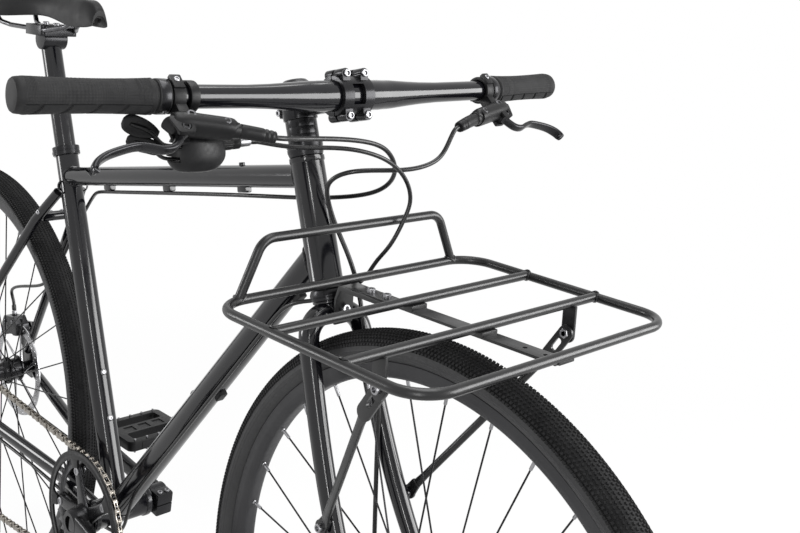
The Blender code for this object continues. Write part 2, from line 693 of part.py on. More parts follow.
def brake_lever(name, side):
    """A two-finger blade with an S-curve and a turned-out end, on its pin."""
    at, along, out, pin = lever_frame(side)
    spots = [(0.2060, 0.0415), (0.2120, 0.0455), (0.2220, 0.0560), (0.2330, 0.0590), (0.2450, 0.0562),
             (0.2560, 0.0550), (0.2720, 0.0590), (0.2850, 0.0640), (0.2950, 0.0710), (0.3010, 0.0800)]
    sizes = [(0.0040, 0.0042), (0.0040, 0.0045), (0.0034, 0.0047), (0.0028, 0.0050), (0.0026, 0.0052),
             (0.0026, 0.0054), (0.0027, 0.0056), (0.0028, 0.0058), (0.0030, 0.0060), (0.0030, 0.0058)]
    path = [lever_point(side, y, w) for y, w in spots]
    made = tube(name, path, sizes, 8, side=pin, kind="satin")
    top, low = lever_point(side, PIN_Y, PIN_W, 0.0094), lever_point(side, PIN_Y, PIN_W, -0.0094)
    combine(made, [rod("pin", low, top, 0.0023, 8)])
    return pivot(made, lever_point(side, PIN_Y, PIN_W))


POD = Vector((0.3600, -0.1800, 0.8710))


def shifter():
    """Clamp band, the round housing under the bar and its barrel adjuster."""
    band = sleeve("shifter_body", bar_point(-0.1915), bar_point(-0.1825), 0.0148, 0.0118, 16, "plastic")
    neck = block("neck", bar_point(-0.1870) + Vector((0.003, 0, -0.0250)), (0.0130, 0.0078, 0.0250), X, Y)
    body = tube("body", [POD + Z * h for h in (-0.0210, -0.0180, -0.0080, 0.0060, 0.0120, 0.0140)],
                [(0.0080, 0.0150), (0.0125, 0.0225), (0.0160, 0.0290), (0.0150, 0.0270),
                 (0.0120, 0.0230), (0.0080, 0.0180)], 12, side=Y)
    barrel = tube("barrel", [POD + Vector((0, 0.018, 0.002)), POD + Vector((0, 0.044, 0.003)),
                             POD + Vector((0, 0.045, 0.003)), POD + Vector((0, 0.056, 0.0035))],
                  [0.0062, 0.0058, 0.0050, 0.0046], 8, side=Z)
    cut(body, [block("slot", POD + Vector((-0.0125, -0.024, h)), (0.0450, 0.0340, 0.0048))
               for h in SHIFT_SLOTS])
    return combine(band, [neck, body, barrel])


SHIFT_SLOTS = (0.0041, -0.0079)
SHIFT_PIN = POD + Vector((0.004, -0.0126, 0.0))


def shift_lever(name, h, tip, wide):
    """A thumb lever: a hub inside the housing's slot and a paddle reaching out."""
    hub = SHIFT_PIN + Z * h
    made = rod(name, hub - Z * 0.0019, hub + Z * 0.0019, 0.0052, 10, "plastic")
    path = [hub + Vector((-0.0010, -0.002, 0)), hub + Vector((-0.0080, -0.018, 0.0002))]
    path += [hub.lerp(tip, 0.62), tip.lerp(hub, 0.12), tip]
    arm = tube("arm", path, [(0.0040, 0.0017), (0.0045, 0.0017), (wide * 0.8, 0.0024),
                             (wide, 0.0024), (wide * 0.5, 0.0018)], 8, side=Z)
    return pivot(combine(made, [arm]), hub)


# Front carrier

RACK_BACK_Z, RACK_FRONT_Z = 0.7270, 0.7240
RACK_ROUND = 0.0360
HOOP_LOW_Y, HOOP_TOP_Y, HOOP_Z = 0.1430, 0.1172, 0.7835
BAR_SEAT = 0.0056         # a groove for one of the platform's tubes
BAR_UP = 0.0008           # the crossing bars lie this much above the outer tube
HANGER_Y, HANGER_Z = 0.1290, 0.6950


def rack_z(x):
    return RACK_BACK_Z + (RACK_FRONT_Z - RACK_BACK_Z) * (x - RACK_X[0]) / (RACK_X[3] - RACK_X[0])


def rack_hanger(side):
    """A plate under the third bar, with the strut's bolt hole."""
    x = RACK_X[2]
    edge = [(-0.0080, -0.0400), (0.0080, -0.0400), (0.0080, 0.0), (-0.0080, 0.0)]
    made = plate("hanger", edge, Vector((x, side * HANGER_Y, rack_z(x) - 0.0010)), X, Z, 0.0030)
    hole = Vector((x, side * HANGER_Y, HANGER_Z))
    return cut(made, [rod("hole", hole - Y * 0.01, hole + Y * 0.01, 0.0034, 8)])


def rack():
    """The platform: a bent outer tube, two crossing bars, the rear hoop and two hangers."""
    ring = [Vector((x, y, rack_z(x))) for x, y in
            ((RACK_X[0], -RACK_W), (RACK_X[3], -RACK_W), (RACK_X[3], RACK_W), (RACK_X[0], RACK_W))]
    made = tube("rack", corners(ring, RACK_ROUND, 4, True), TUBE_R, 8, Z, "satin", True)
    pieces = []
    for x in RACK_X[1:3]:
        z = rack_z(x) + BAR_UP
        pieces.append(rod("bar", (x, -RACK_W + 0.001, z), (x, RACK_W - 0.001, z), TUBE_R, 8))
    x = RACK_X[0]
    arch = [(x, -HOOP_LOW_Y, rack_z(x)), (x, -HOOP_TOP_Y, HOOP_Z), (x, HOOP_TOP_Y, HOOP_Z),
            (x, HOOP_LOW_Y, rack_z(x))]
    pieces.append(tube("hoop", corners(arch, 0.0200, 3), TUBE_R, 8, X))
    pieces += [rack_hanger(side) for side in (-1, 1)]
    return combine(made, pieces)


SPINE_TOP = 0.7190
SPINE_HALF = 0.0095


CROWN_T, CROWN_N = 0.3712, 0.0156    # where the bracket's bolt meets the fork's crown


def rack_spine():
    """The flat strap under the platform, with saddles to the bars and a bent bracket."""
    made = block("rack_spine", (0.5125, 0, SPINE_TOP - 0.0015), (0.2900, 2 * SPINE_HALF, 0.0030))
    cut(made, [rod("hole", (x, 0, 0.70), (x, 0, 0.74), 0.0024, 6) for x in (0.615, 0.639)])
    pieces, grooves = [], []
    for x, back, up in ((RACK_X[1], 0.0, BAR_UP), (RACK_X[2], 0.0, BAR_UP), (RACK_X[3], 0.003, 0.0)):
        low, high = SPINE_TOP - 0.001, rack_z(x) - 0.0025
        pieces.append(block("saddle", (x - back, 0, (low + high) / 2), (0.0140, 0.0210, high - low)))
        bar = Vector((x, 0, rack_z(x) + up))
        grooves.append(rod("bar", bar - Y * 0.05, bar + Y * 0.05, BAR_SEAT, 8))
    edge = [(0.3700, 0.7190), (0.3640, 0.7030), (0.3640, 0.6750), (0.3670, 0.6750),
            (0.3672, 0.7020), (0.3725, 0.7130), (0.4480, 0.7130), (0.4480, 0.7170)]
    pieces.append(plate("bracket", edge, Vector((0, 0, 0)), X, Z, 0.0240))
    pieces.append(rod("spacer", steer(CROWN_T, CROWN_N + GAP), steer(CROWN_T, 0.0222), 0.0058, 8))
    pieces.append(rod("crown_bolt", steer(CROWN_T, 0.0215), steer(CROWN_T, 0.0280), 0.0048, 6))
    pieces += [rod("bolt", (x, 0, SPINE_TOP - 0.001), (x, 0, SPINE_TOP + 0.0042), 0.0046, 6)
               for x in (0.407, 0.431)]
    combine(made, pieces)
    return cut(made, grooves)


def strut(name, side):
    """A round strut with a flat slotted eye at the carrier and a flat foot on the fork."""
    foot = leg_point(side, BOSS_T) + Y * (side * (BOSS_OUT + GAP + 0.0015))
    head = Vector((RACK_X[2], side * (HANGER_Y - 0.0015 - GAP - 0.0015), HANGER_Z))
    way = (head - foot).normalized()
    flat = Vector((way.x, 0, way.z)).normalized()
    out = flat.cross(Y)
    eye = [(-0.034 + 0.0085 * cos(t), 0.0085 * sin(t)) for t in (pi * 0.5, pi, pi * 1.5)]
    eye += [(0.0085 * cos(t), 0.0085 * sin(t)) for t in (-pi / 2, -pi / 4, 0, pi / 4, pi / 2)]
    made = plate(name, eye, head, flat, out, 0.0030)
    cut(made, [block("slot", head - flat * 0.0180, (0.0170, 0.0065, 0.02), flat, out)])
    start = head - flat * 0.0330
    rod_end = foot + flat * 0.0070
    pieces = [tube("rod", [start, start.lerp(rod_end, 0.06), start.lerp(rod_end, 0.94), rod_end],
                   [(0.0060, 0.0018), 0.0042, 0.0042, (0.0052, 0.0021)], 8, Y)]
    edge = [(0.0080 * cos(t), 0.0080 * sin(t)) for t in (2 * pi * k / 8 for k in range(8))]
    edge = [(u + (0.0080 if u > 0.001 else 0), v) for u, v in edge]
    pieces.append(plate("foot", edge, foot, flat, out, 0.0030))
    pieces.append(rod("bolt", foot, foot + Y * (side * 0.0060), 0.0046, 6))
    inner, outer = head - Y * (side * 0.0050), head + Y * (side * 0.0095)
    pieces.append(rod("bolt", inner, outer, 0.0030, 6))
    pieces.append(rod("nut", inner, head, 0.0052, 6))
    combine(made, pieces)
    return made


# Wheels

ROUND = 32               # sides of a tyre and its rim, one for each spoke
SPOKES = 32
NIPPLE_TURN = 9.5        # first spoke's nipple, up from straight ahead, in degrees
NIPPLE = Vector((cos(radians(NIPPLE_TURN)), 0, sin(radians(NIPPLE_TURN))))


def tyre(name, axle):
    """A hollow tyre with its beads between the rim's hooks."""
    outer = [(TYRE_R, 0.0), (0.3458, 0.0115), (0.3370, 0.0192), (0.3250, 0.0192), (0.3184, 0.0110),
             (0.3182, 0.0087), (0.3130, 0.0087)]
    inner = [(0.3130, 0.0062), (0.3455, 0.0)]
    profile = outer + inner
    profile += [(r, -h) for r, h in reversed(inner[:-1])] + [(r, -h) for r, h in reversed(outer[1:])]
    return lathe(name, profile, axle, Y, ROUND, "rubber", NIPPLE)


FLANGE_R = 0.0225
SPOKE_R = 0.0012


def rim(name, axle, right, left):
    """The rim with its spokes, which reach to just outside the hub's flanges."""
    half = [(0.3120, 0.0091), (RIM_TOP, 0.0091), (RIM_TOP, RIM_HALF), (0.3085, RIM_HALF),
            (RIM_IN, 0.0087)]
    profile = half + [(r, -h) for r, h in reversed(half)]
    made = lathe(name, profile, axle, Y, ROUND, "satin", NIPPLE)
    return combine(made, [spokes(axle, right, left)])


def spokes(axle, right, left):
    """Three-cross spokes between the two flanges and the rim's bed."""
    points, faces = [], []
    for k in range(SPOKES):
        turn = radians(NIPPLE_TURN) + 2 * pi * k / SPOKES
        side = -1 if k % 2 else 1
        flange = left if side > 0 else right
        lead = 1 if (k // 2) % 2 else -1
        hub = turn + lead * radians(65)
        low, high = FLANGE_R + GAP + SPOKE_R, RIM_IN + 0.0030
        a = axle + Vector((cos(hub) * low, flange + 0.0016 * lead, sin(hub) * low))
        b = axle + Vector((cos(turn) * high, 0.0012 * side, sin(turn) * high))
        way = (b - a).normalized()
        u = way.cross(Y).normalized()
        v = way.cross(u)
        first = len(points)
        for p in (a, b):
            for corner in (0, 1, 2):
                turn = pi / 2 + 2 * pi * corner / 3
                points.append(p + (u * cos(turn) + v * sin(turn)) * SPOKE_R)
        faces += [tuple(first + i for i in (0, 1, 2)), tuple(first + i for i in (5, 4, 3))]
        faces += [tuple(first + i for i in (i0, i0 + 3, (i0 + 1) % 3 + 3, (i0 + 1) % 3))
                  for i0 in range(3)]
    return solid("spokes", points, faces)


def rotor(at):
    """The brake disc: a ring on six swept arms."""
    made = lathe("rotor", [(0.0800, -0.0009), (0.0800, 0.0009), (0.0655, 0.0009), (0.0655, -0.0009)],
                 at, Y, 20, "steel")
    arms = [rod("carrier", at - Y * 0.0010, at + Y * 0.0010, 0.0215, 12)]
    for k in range(6):
        turn = 2 * pi * k / 6
        a = at + Vector((cos(turn), 0, sin(turn))) * 0.0190
        b = at + Vector((cos(turn + 0.42), 0, sin(turn + 0.42))) * 0.0672
        way = (b - a).normalized()
        arms.append(block("arm", a.lerp(b, 0.5), ((b - a).length, 0.0048, 0.0017), way, way.cross(Y)))
    return combine(made, arms)


def hub(name, axle, right, left, ends, disc, free=None):
    """Hub shell with two flanges and the brake disc."""
    tail = [(0, -ends), (0.0090, -ends), (0.0090, right - 0.0120)]
    if free:
        tail = [(0, -ends), (0.0090, -ends), (0.0090, free - 0.0010), (0.0158, free - 0.0010),
                (0.0158, right - 0.0050)]
    profile = tail + [(FLANGE_R, right - 0.0018), (FLANGE_R, right + 0.0018), (0.0140, right + 0.0060),
                      (0.0140, left - 0.0060), (FLANGE_R, left - 0.0018), (FLANGE_R, left + 0.0018),
                      (0.0180, left + 0.0040), (0.0180, disc + 0.0020), (0.0090, disc + 0.0040),
                      (0.0090, ends), (0, ends)]
    made = lathe(name, profile, axle, Y, 12, "satin")
    combine(made, [rotor(axle + Y * disc)])
    return cut(made, [rod("bore", axle - Y * 0.2, axle + Y * 0.2, 0.0056, 12)])


def axle_rod(name, axle, reach):
    """A through axle with a nut at each end."""
    profile = [(0, -reach), (0.0085, -reach), (0.0085, 0.0068 - reach), (0.0050, 0.0068 - reach),
               (0.0050, reach - 0.0068), (0.0085, reach - 0.0068), (0.0085, reach), (0, reach)]
    return lathe(name, profile, axle, Y, 8, "steel")


CALIPER_HALF = 0.0105


def bolt_spots(centre, radial):
    around = radial.cross(Y)
    return [centre + around * end - radial * 0.0060 for end in (-0.0190, 0.0190)]


def bolt_holes(centre, radial, y):
    return [rod("hole", spot + Y * (y - 0.01), spot + Y * (y + 0.01), 0.0034, 8)
            for spot in bolt_spots(centre, radial)]


def caliper(name, centre, radial, disc, tab):
    """A brake caliper over the edge of the disc, bolted to the tab whose inner face is at y = tab."""
    half = CALIPER_HALF
    around = radial.cross(Y)
    edge = [(-0.0260, -0.0150), (0.0260, -0.0150), (0.0280, 0.0040), (0.0180, 0.0170),
            (-0.0180, 0.0170), (-0.0280, 0.0040)]
    at = Vector((centre.x, disc, centre.z))
    made = plate(name, edge, at, around, radial, 2 * half, "satin")
    cut(made, [block("slot", at - radial * 0.0120, (0.08, 0.0480, 0.0026), around, radial)])
    pieces = []
    for spot in bolt_spots(centre, radial):
        pieces.append(rod("bolt", spot + Y * (disc + half - 0.004), spot + Y * (tab + 0.0062), 0.0029, 6))
        if tab - GAP > disc + half:
            pieces.append(rod("spacer", spot + Y * (disc + half - 0.003), spot + Y * (tab - GAP), 0.0052, 8))
    pieces.append(rod("entry", at + radial * 0.012, at + radial * 0.0240, 0.0042, 8))
    return combine(made, pieces)


FRONT_FLANGES, REAR_FLANGES = (-0.0285, 0.0285), (-0.0215, 0.0335)
FRONT_DISC, REAR_DISC = 0.0395, 0.0520
FRONT_RADIAL = Vector((-0.943, 0, 0.333)).normalized()
FRONT_CALIPER = FRONT + FRONT_RADIAL * 0.0730
REAR_RADIAL = Vector((cos(radians(100)), 0, sin(radians(100))))
REAR_CALIPER = REAR + REAR_RADIAL * 0.0730
FRONT_ENTRY = FRONT_CALIPER + Y * FRONT_DISC + FRONT_RADIAL * 0.0248
REAR_ENTRY = REAR_CALIPER + Y * REAR_DISC + REAR_RADIAL * 0.0248


# Drivetrain

COGS = (11, 13, 15, 18, 21, 24, 28, 32)
COG_STEP, COG_HALF = 0.0048, 0.0009
GUIDE = Vector((-0.5000, 0, 0.2620))
CAGE_LONG = 0.0760
LINKS = 110
PLATE_IN, PLATE_OUT, PLATE_TALL, ROLLER = 0.0023, 0.0033, 0.0040, 0.0036


def pitch_radius(teeth):
    return teeth * PITCH / (2 * pi)


def tension_pulley(turn):
    return GUIDE + Vector((cos(turn), 0, sin(turn))) * CAGE_LONG


def chain_loop(turn):
    """The chain's round: (is a bend, start or centre, angle, length, radius, sense)."""
    wheels = [(BB, pitch_radius(RING_T), -1), (tension_pulley(turn), pitch_radius(JOCKEY_T), -1),
              (GUIDE, pitch_radius(JOCKEY_T), 1), (REAR, pitch_radius(COG_T), -1)]
    ways = []
    for (p, r, s), (q, t, u) in zip(wheels, wheels[1:] + wheels[:1]):
        gap = q - p
        ways.append(atan2(gap.z, gap.x) + asin((s * r - u * t) / gap.length))
    parts = []
    for i, (p, r, s) in enumerate(wheels):
        came, goes = ways[i - 1], ways[i]
        sweep = (s * (goes - came)) % (2 * pi)
        parts.append((True, p, came, sweep * r, r, s))
        q, t, u = wheels[(i + 1) % 4]
        right = Vector((sin(goes), 0, -cos(goes)))
        start, end = p + right * (s * r), q + right * (u * t)
        parts.append((False, start, goes, (end - start).length, 0, 0))
    return parts


def loop_length(turn):
    return sum(part[3] for part in chain_loop(turn))


def cage_turn():
    """The cage angle at which the loop is a whole number of links."""
    low, high = radians(-120), radians(-40)
    for _ in range(50):
        mid = (low + high) / 2
        if loop_length(mid) > LINKS * PITCH:
            low = mid
        else:
            high = mid
    return (low + high) / 2


CAGE_TURN = cage_turn()
TENSION = tension_pulley(CAGE_TURN)
LOOP = chain_loop(CAGE_TURN)


def chain_spot(s):
    """Where the chain is after s metres, and its direction there."""
    for bend, at, way, length, r, sense in LOOP:
        if s <= length:
            break
        s -= length
    if not bend:
        return at + Vector((cos(way), 0, sin(way))) * s, way
    way += sense * s / r
    return at + Vector((sin(way), 0, -cos(way))) * (sense * r), way


def chain():
    """Two runs of side plates with a roller across them at every link."""
    points, faces = [], []
    count = 2 * LINKS
    for j in range(count):
        s = ((j // 2) * PITCH + (ROLLER if j % 2 else -ROLLER)) % (LINKS * PITCH)
        p, way = chain_spot(s)
        tall = Vector((-sin(way), 0, cos(way))) * PLATE_TALL
        for side in (-1, 1):
            out, near = Y * (CHAIN_Y + side * PLATE_OUT), Y * (CHAIN_Y + side * PLATE_IN)
            points += [p + tall + out, p + tall + near, p - tall + near, p - tall + out]
    for j in range(count):
        a, b = 8 * j, 8 * ((j + 1) % count)
        for first in (0, 4):
            for m, n in ((3, 0), (0, 1), (2, 3)) + (((1, 2),) if j % 2 else ()):
                faces.append((a + first + m, a + first + n, b + first + n, b + first + m))
        if j % 2 == 0:
            faces += [(a + 1, a + 5, b + 5, b + 1), (a + 2, a + 6, b + 6, b + 2)]
            faces += [(c + 1, c + 5, c + 6, c + 2) for c in (a, b)]
    return solid("chain", points, faces, "chain")


def first_tooth(centre, teeth):
    """The angle of a tooth: half a pitch from a roller that lies on the wheel."""
    for k in range(LINKS):
        spot, way = chain_spot(k * PITCH)
        arm = spot - centre
        arm.y = 0
        ahead, _ = chain_spot((k * PITCH + 0.001) % (LINKS * PITCH))
        if abs(arm.length - pitch_radius(teeth)) < 1e-6 and abs((ahead - centre).length - arm.length) < 1e-6:
            return atan2(arm.z, arm.x) + pi / teeth
    return 0.0


def toothed(name, centre, teeth, y, thick, first, halves, kind="steel", root=0.0048, tip=0.0034):
    """A toothed disc. halves are a tooth's half widths at its root and its tip."""
    r = pitch_radius(teeth)
    edge = []
    for k in range(teeth):
        turn = first + 2 * pi * k / teeth
        row = [(r - root, -halves[0])] if halves[0] else []
        row += [(r + tip, -halves[1]), (r + tip, halves[1])] if halves[1] else [(r + tip, 0)]
        row += [(r - root, halves[0])] if halves[0] else [(r - root, pi / teeth * (r - root))]
        edge += [(rr * cos(turn + w / rr), rr * sin(turn + w / rr)) for rr, w in row]
    return plate(name, edge, centre + Y * y, X, Z, thick, kind)


def chainring():
    made = toothed("chainring", BB, RING_T, CHAIN_Y, 0.0020, first_tooth(BB, RING_T), (0.0024, 0.0))
    cut(made, [rod("inside", BB - Y * 0.1, BB + Y * 0.1, 0.0710, 24)])
    tabs, holes = [], []
    for turn in arm_turns():
        way = Vector((cos(turn), 0, sin(turn)))
        spot = BB + way * BOLT_R + Y * CHAIN_Y
        tabs.append(block("tab", spot + way * 0.0010, (0.0160, 0.0150, 0.0019), way, way.cross(Y)))
        holes.append(rod("hole", spot - Y * 0.01, spot + Y * 0.01, 0.0043, 8))
    combine(made, tabs)
    return cut(made, holes)


def cassette():
    """Eight sprockets on one core."""
    place = COGS.index(COG_T)
    profile = []
    for i, teeth in enumerate(COGS):
        y = CHAIN_Y + (i - place) * COG_STEP
        r = pitch_radius(teeth)
        if teeth == COG_T:
            profile += [(0.0196, y - COG_STEP + COG_HALF), (0.0196, y + COG_STEP - COG_HALF)]
        elif i < place:
            profile += [(r, y - COG_HALF), (r, y + (COG_HALF if i == place - 1 else COG_STEP - COG_HALF))]
        else:
            profile += [(r, y - (COG_HALF if i == place + 1 else COG_STEP - COG_HALF)), (r, y + COG_HALF)]
    profile += [(0.0163, profile[-1][1]), (0.0163, profile[0][1])]
    made = lathe("cassette", profile, REAR, Y, 14, "steel")
    meets = toothed("cog", REAR, COG_T, CHAIN_Y, 2 * COG_HALF, first_tooth(REAR, COG_T), (0.0023, 0.0))
    cut(meets, [rod("bore", REAR - Y * 0.1, REAR + Y * 0.1, 0.0180, 14)])
    return combine(made, [meets])


def jockey(name, centre):
    made = toothed(name, centre, JOCKEY_T, CHAIN_Y, 0.0022, first_tooth(centre, JOCKEY_T),
                   (0.0018, 0.0), "plastic", 0.0050, 0.0026)
    combine(made, [rod("boss", centre + Y * (CHAIN_Y - 0.0034), centre + Y * (CHAIN_Y + 0.0034), 0.0070, 10)])
    cut(made, [rod("bore", centre - Y * 0.1, centre, 0.0033, 10)])
    return pivot(made, centre + Y * CHAIN_Y)


CAGE_IN, CAGE_OUT = CHAIN_Y + 0.0052, CHAIN_Y - 0.0052


def derailleur_cage():
    """Two side plates held apart by the pulleys' pins."""
    way = (TENSION - GUIDE).normalized()
    across = way.cross(Y)
    edge = [(0.0115 * cos(t), 0.0115 * sin(t)) for t in (pi * k / 4 for k in range(2, 7))]
    edge += [(0.30 * CAGE_LONG, -0.0075), (0.70 * CAGE_LONG, -0.0075)]
    edge += [(CAGE_LONG + 0.0105 * cos(t), 0.0105 * sin(t)) for t in (pi * k / 4 for k in range(-2, 3))]
    edge += [(0.70 * CAGE_LONG, 0.0060), (0.30 * CAGE_LONG, 0.0060)]
    made = plate("derailleur_cage", edge, GUIDE + Y * CAGE_OUT, way, across, 0.0014, "anodised")
    pieces = [plate("inner", edge, GUIDE + Y * CAGE_IN, way, across, 0.0014)]
    for spot in (GUIDE, TENSION):
        pieces.append(rod("pin", spot + Y * CAGE_OUT, spot + Y * (CAGE_IN + 0.0022), 0.0030, 8))
    combine(made, pieces)
    return pivot(made, GUIDE + Y * CAGE_OUT)


HANGER = REAR + Vector((-0.002, -0.0731, -0.0280))


def derailleur_body():
    """Upper knuckle on the hanger, the linkage and the lower knuckle over the cage."""
    top, low = HANGER, GUIDE + Y * (CAGE_OUT - 0.0007 - GAP)
    made = rod("derailleur_body", top, top - Y * 0.0150, 0.0095, 12, "plastic")
    pieces = [rod("knuckle", low, low - Y * 0.0160, 0.0115, 12)]
    a, b = top - Y * 0.0100, low - Y * 0.0100
    pieces.append(tube("link", [a, a.lerp(b, 0.3), a.lerp(b, 0.7), b],
                       [(0.0070, 0.0060), (0.0095, 0.0060), (0.0100, 0.0060), (0.0080, 0.0060)], 8, Y))
    barrel = top + Vector((-0.004, -0.0090, -0.0020))
    pieces.append(rod("barrel", barrel, barrel + Vector((-0.0200, 0.0010, -0.0030)), 0.0042, 8))
    return combine(made, pieces)


ARMS, BOLT_R = 5, 0.0650
ARM_Y, BOSS_Y = 0.0640, 0.0700


def arm_turns():
    return [radians(CRANK_TURN + 42) + 2 * pi * k / ARMS for k in range(ARMS)]


def crank_way(side):
    turn = radians(CRANK_TURN) + (0 if side < 0 else pi)
    return Vector((cos(turn), 0, sin(turn)))


PEDAL_FROM, PEDAL_TO = 0.0860, 0.1860


def crank_arm(side):
    """The tapered arm from the spindle to the pedal's axle, with that axle."""
    way = crank_way(side)
    y = Y * (side * ARM_Y)
    path = [BB + y + way * r for r in (0.0, 0.020, 0.060, 0.155, 0.180)]
    sizes = [(0.0150, 0.0062), (0.0150, 0.0062), (0.0122, 0.0062), (0.0120, 0.0060), (0.0100, 0.0058)]
    arm = tube("arm", path, sizes, 10, side=Y)
    end = BB + way * CRANK
    axle = rod("axle", end + Y * (side * ARM_Y), end + Y * (side * (PEDAL_TO - 0.004)), 0.0058, 10)
    flats = rod("flats", end + Y * (side * 0.0670), end + Y * (side * (PEDAL_FROM - 0.004)), 0.0075, 6)
    return [arm, axle, flats]


def crank_right():
    """Spindle, right arm, five-armed spider and the guard ring round the chain."""
    profile = [(0, 0.0680), (0.0120, 0.0680), (0.0120, -0.0450), (0.0190, -0.0452),
               (0.0215, -0.0520), (0.0185, -0.0640), (0.0155, -0.0705), (0, -0.0705)]
    made = lathe("crank_right", profile, BB, Y, 16, "anodised")
    pieces = [lathe("guard", [(0.0935, -0.0505), (0.0935, -0.0535), (0.0825, -0.0535), (0.0825, -0.0505)],
                    BB, Y, 32)]
    for turn in arm_turns():
        way = Vector((cos(turn), 0, sin(turn)))
        wide = way.cross(Y)
        edge = [(0.014, -0.0125), (0.045, -0.0085), (0.0735, -0.0080), (0.0735, 0.0080),
                (0.045, 0.0085), (0.014, 0.0125)]
        pieces.append(plate("arm", edge, BB + Y * -0.0480, way, wide, 0.0064))
        edge = [(0.0700, -0.0075), (0.0850, -0.0165), (0.0850, 0.0165), (0.0700, 0.0075)]
        pieces.append(plate("tab", edge, BB + Y * -0.0518, way, wide, 0.0032))
        spot = BB + way * BOLT_R
        pieces.append(rod("bolt", spot - Y * 0.0460, spot - Y * 0.0400, 0.0039, 6))
    combine(made, pieces + crank_arm(-1))
    cut(made, [rod("bore", BB - Y * 0.2, BB + Y * 0.2, 0.0104, 16)])
    return pivot(made, BB.copy())


def crank_left():
    """The left arm, clamped on the spindle by its slit boss."""
    made = rod("crank_left", BB + Y * 0.0455, BB + Y * BOSS_Y, 0.0175, 16, "anodised")
    ahead = -crank_way(1)
    ears = block("ears", BB + ahead * 0.0165 + Y * 0.0577, (0.0190, 0.0240, 0.0330), ahead, Y)
    combine(made, [ears] + crank_arm(1))
    slit = block("slit", BB + ahead * 0.0200 + Y * 0.0577, (0.0260, 0.0300, 0.0016), ahead, Y)
    cut(made, [rod("bore", BB, BB + Y * 0.2, 0.0124, 16), slit])
    return pivot(made, BB.copy())


def pedal(name, side):
    """A wide platform with two windows, grip pins and a bore for its axle."""
    end = BB + crank_way(side) * CRANK
    mid = end + Y * (side * (PEDAL_FROM + PEDAL_TO) / 2)
    edge = [(-0.0480, -0.0400), (-0.0440, -0.0500), (0.0440, -0.0500), (0.0480, -0.0400),
            (0.0480, 0.0400), (0.0440, 0.0500), (-0.0440, 0.0500), (-0.0480, 0.0400)]
    made = plate(name, edge, mid, X, Y, 0.0170, "plastic")
    holes = [rod("bore", end + Y * (side * 0.05), end + Y * (side * 0.25), 0.0063, 10)]
    for x in (-0.0255, 0.0255):
        holes.append(block("window", mid + X * x, (0.0230, 0.0760, 0.05)))
    cut(made, holes)
    pins = []
    for x in (-0.0435, 0.0435):
        for y in (-0.0360, 0.0360):
            for up in (-1, 1):
                spot = mid + Vector((x, y, up * 0.0075))
                pins.append(rod("pin", spot, spot + Z * (up * 0.0035), 0.0020, 5))
    combine(made, pins)
    return pivot(made, Vector((end.x, side * (PEDAL_FROM + PEDAL_TO) / 2, end.z)))


HOUSING_END = HANGER + Vector((-0.024 - GAP, -0.0080, -0.0050))


# Hoses and housing

HOSE = 0.0050


def brake_boot(side):
    return lever_point(side, 0.1206, 0.0498, 0.0020)


def rear_hose():
    """From the right lever round the head tube, under the top tube and down the left stay."""
    route = [brake_boot(-1), lever_point(-1, 0.1120, 0.0508, 0.0020), (0.3893, -0.085, 0.8790),
             (0.3920, -0.045, 0.8781), (0.3939, 0.005, 0.8723), (0.3901, 0.030, 0.8600),
             (0.3811, 0.050, 0.8381), (0.3609, 0.060, 0.8187), (0.3387, 0.055, 0.8029),
             (0.2920, 0.0355, 0.7928), (0.2447, 0.018, 0.7860), (0.1782, 0.0, 0.7786),
             (0.0180, 0.0, 0.7515), (-0.1300, 0.0, 0.7262), (-0.1750, 0.008, 0.7180),
             (-0.2150, 0.0230, 0.7035), (-0.2450, 0.0290, 0.6820)]
    way = (STAY_END - STAY_MID).normalized()
    ahead = Vector((-way.z, 0, way.x)).normalized()
    route += [STAY_MID + way * s + ahead * n + Y * t for s, n, t in
              ((0.030, 0.0128, 0.0), (0.110, 0.0120, -0.0040), (0.155, 0.0050, -0.0125),
               (0.185, -0.0050, -0.0130))]
    route += [REAR_ENTRY + REAR_RADIAL * 0.045 - Y * 0.006, REAR_ENTRY + REAR_RADIAL * 0.022,
              REAR_ENTRY + REAR_RADIAL * 0.010, REAR_ENTRY]
    return cord("rear_brake_hose", route, HOSE)


def front_hose():
    """From the left lever past the head tube and down behind the left fork leg."""
    route = [brake_boot(1), lever_point(1, 0.1120, 0.0508, 0.0020), (0.3968, 0.1050, 0.8560),
             (0.3971, 0.090, 0.8467), (0.3952, 0.070, 0.8412), (0.3900, 0.045, 0.8391),
             (0.3777, 0.015, 0.8400), (0.3618, -0.005, 0.8367), (0.3446, -0.010, 0.8257),
             (0.3365, -0.008, 0.8135), (0.3334, 0.0, 0.7957), (0.3375, 0.006, 0.7745),
             (0.3489, 0.014, 0.7489), (0.3556, 0.0210, 0.7248), (0.3612, 0.0255, 0.7000),
             (0.3670, 0.0270, 0.6750), (0.3790, 0.0270, 0.6400), (0.3950, 0.0270, 0.6100),
             (0.4010, 0.0270, 0.5800), (0.4005, 0.0280, 0.5455), (0.3998, 0.0300, 0.5090),
             (0.3990, 0.0340, 0.4394), (0.3970, 0.0370, 0.4080)]
    route += [FRONT_ENTRY + FRONT_RADIAL * 0.020, FRONT_ENTRY + FRONT_RADIAL * 0.010, FRONT_ENTRY]
    return cord("front_brake_hose", route, HOSE)


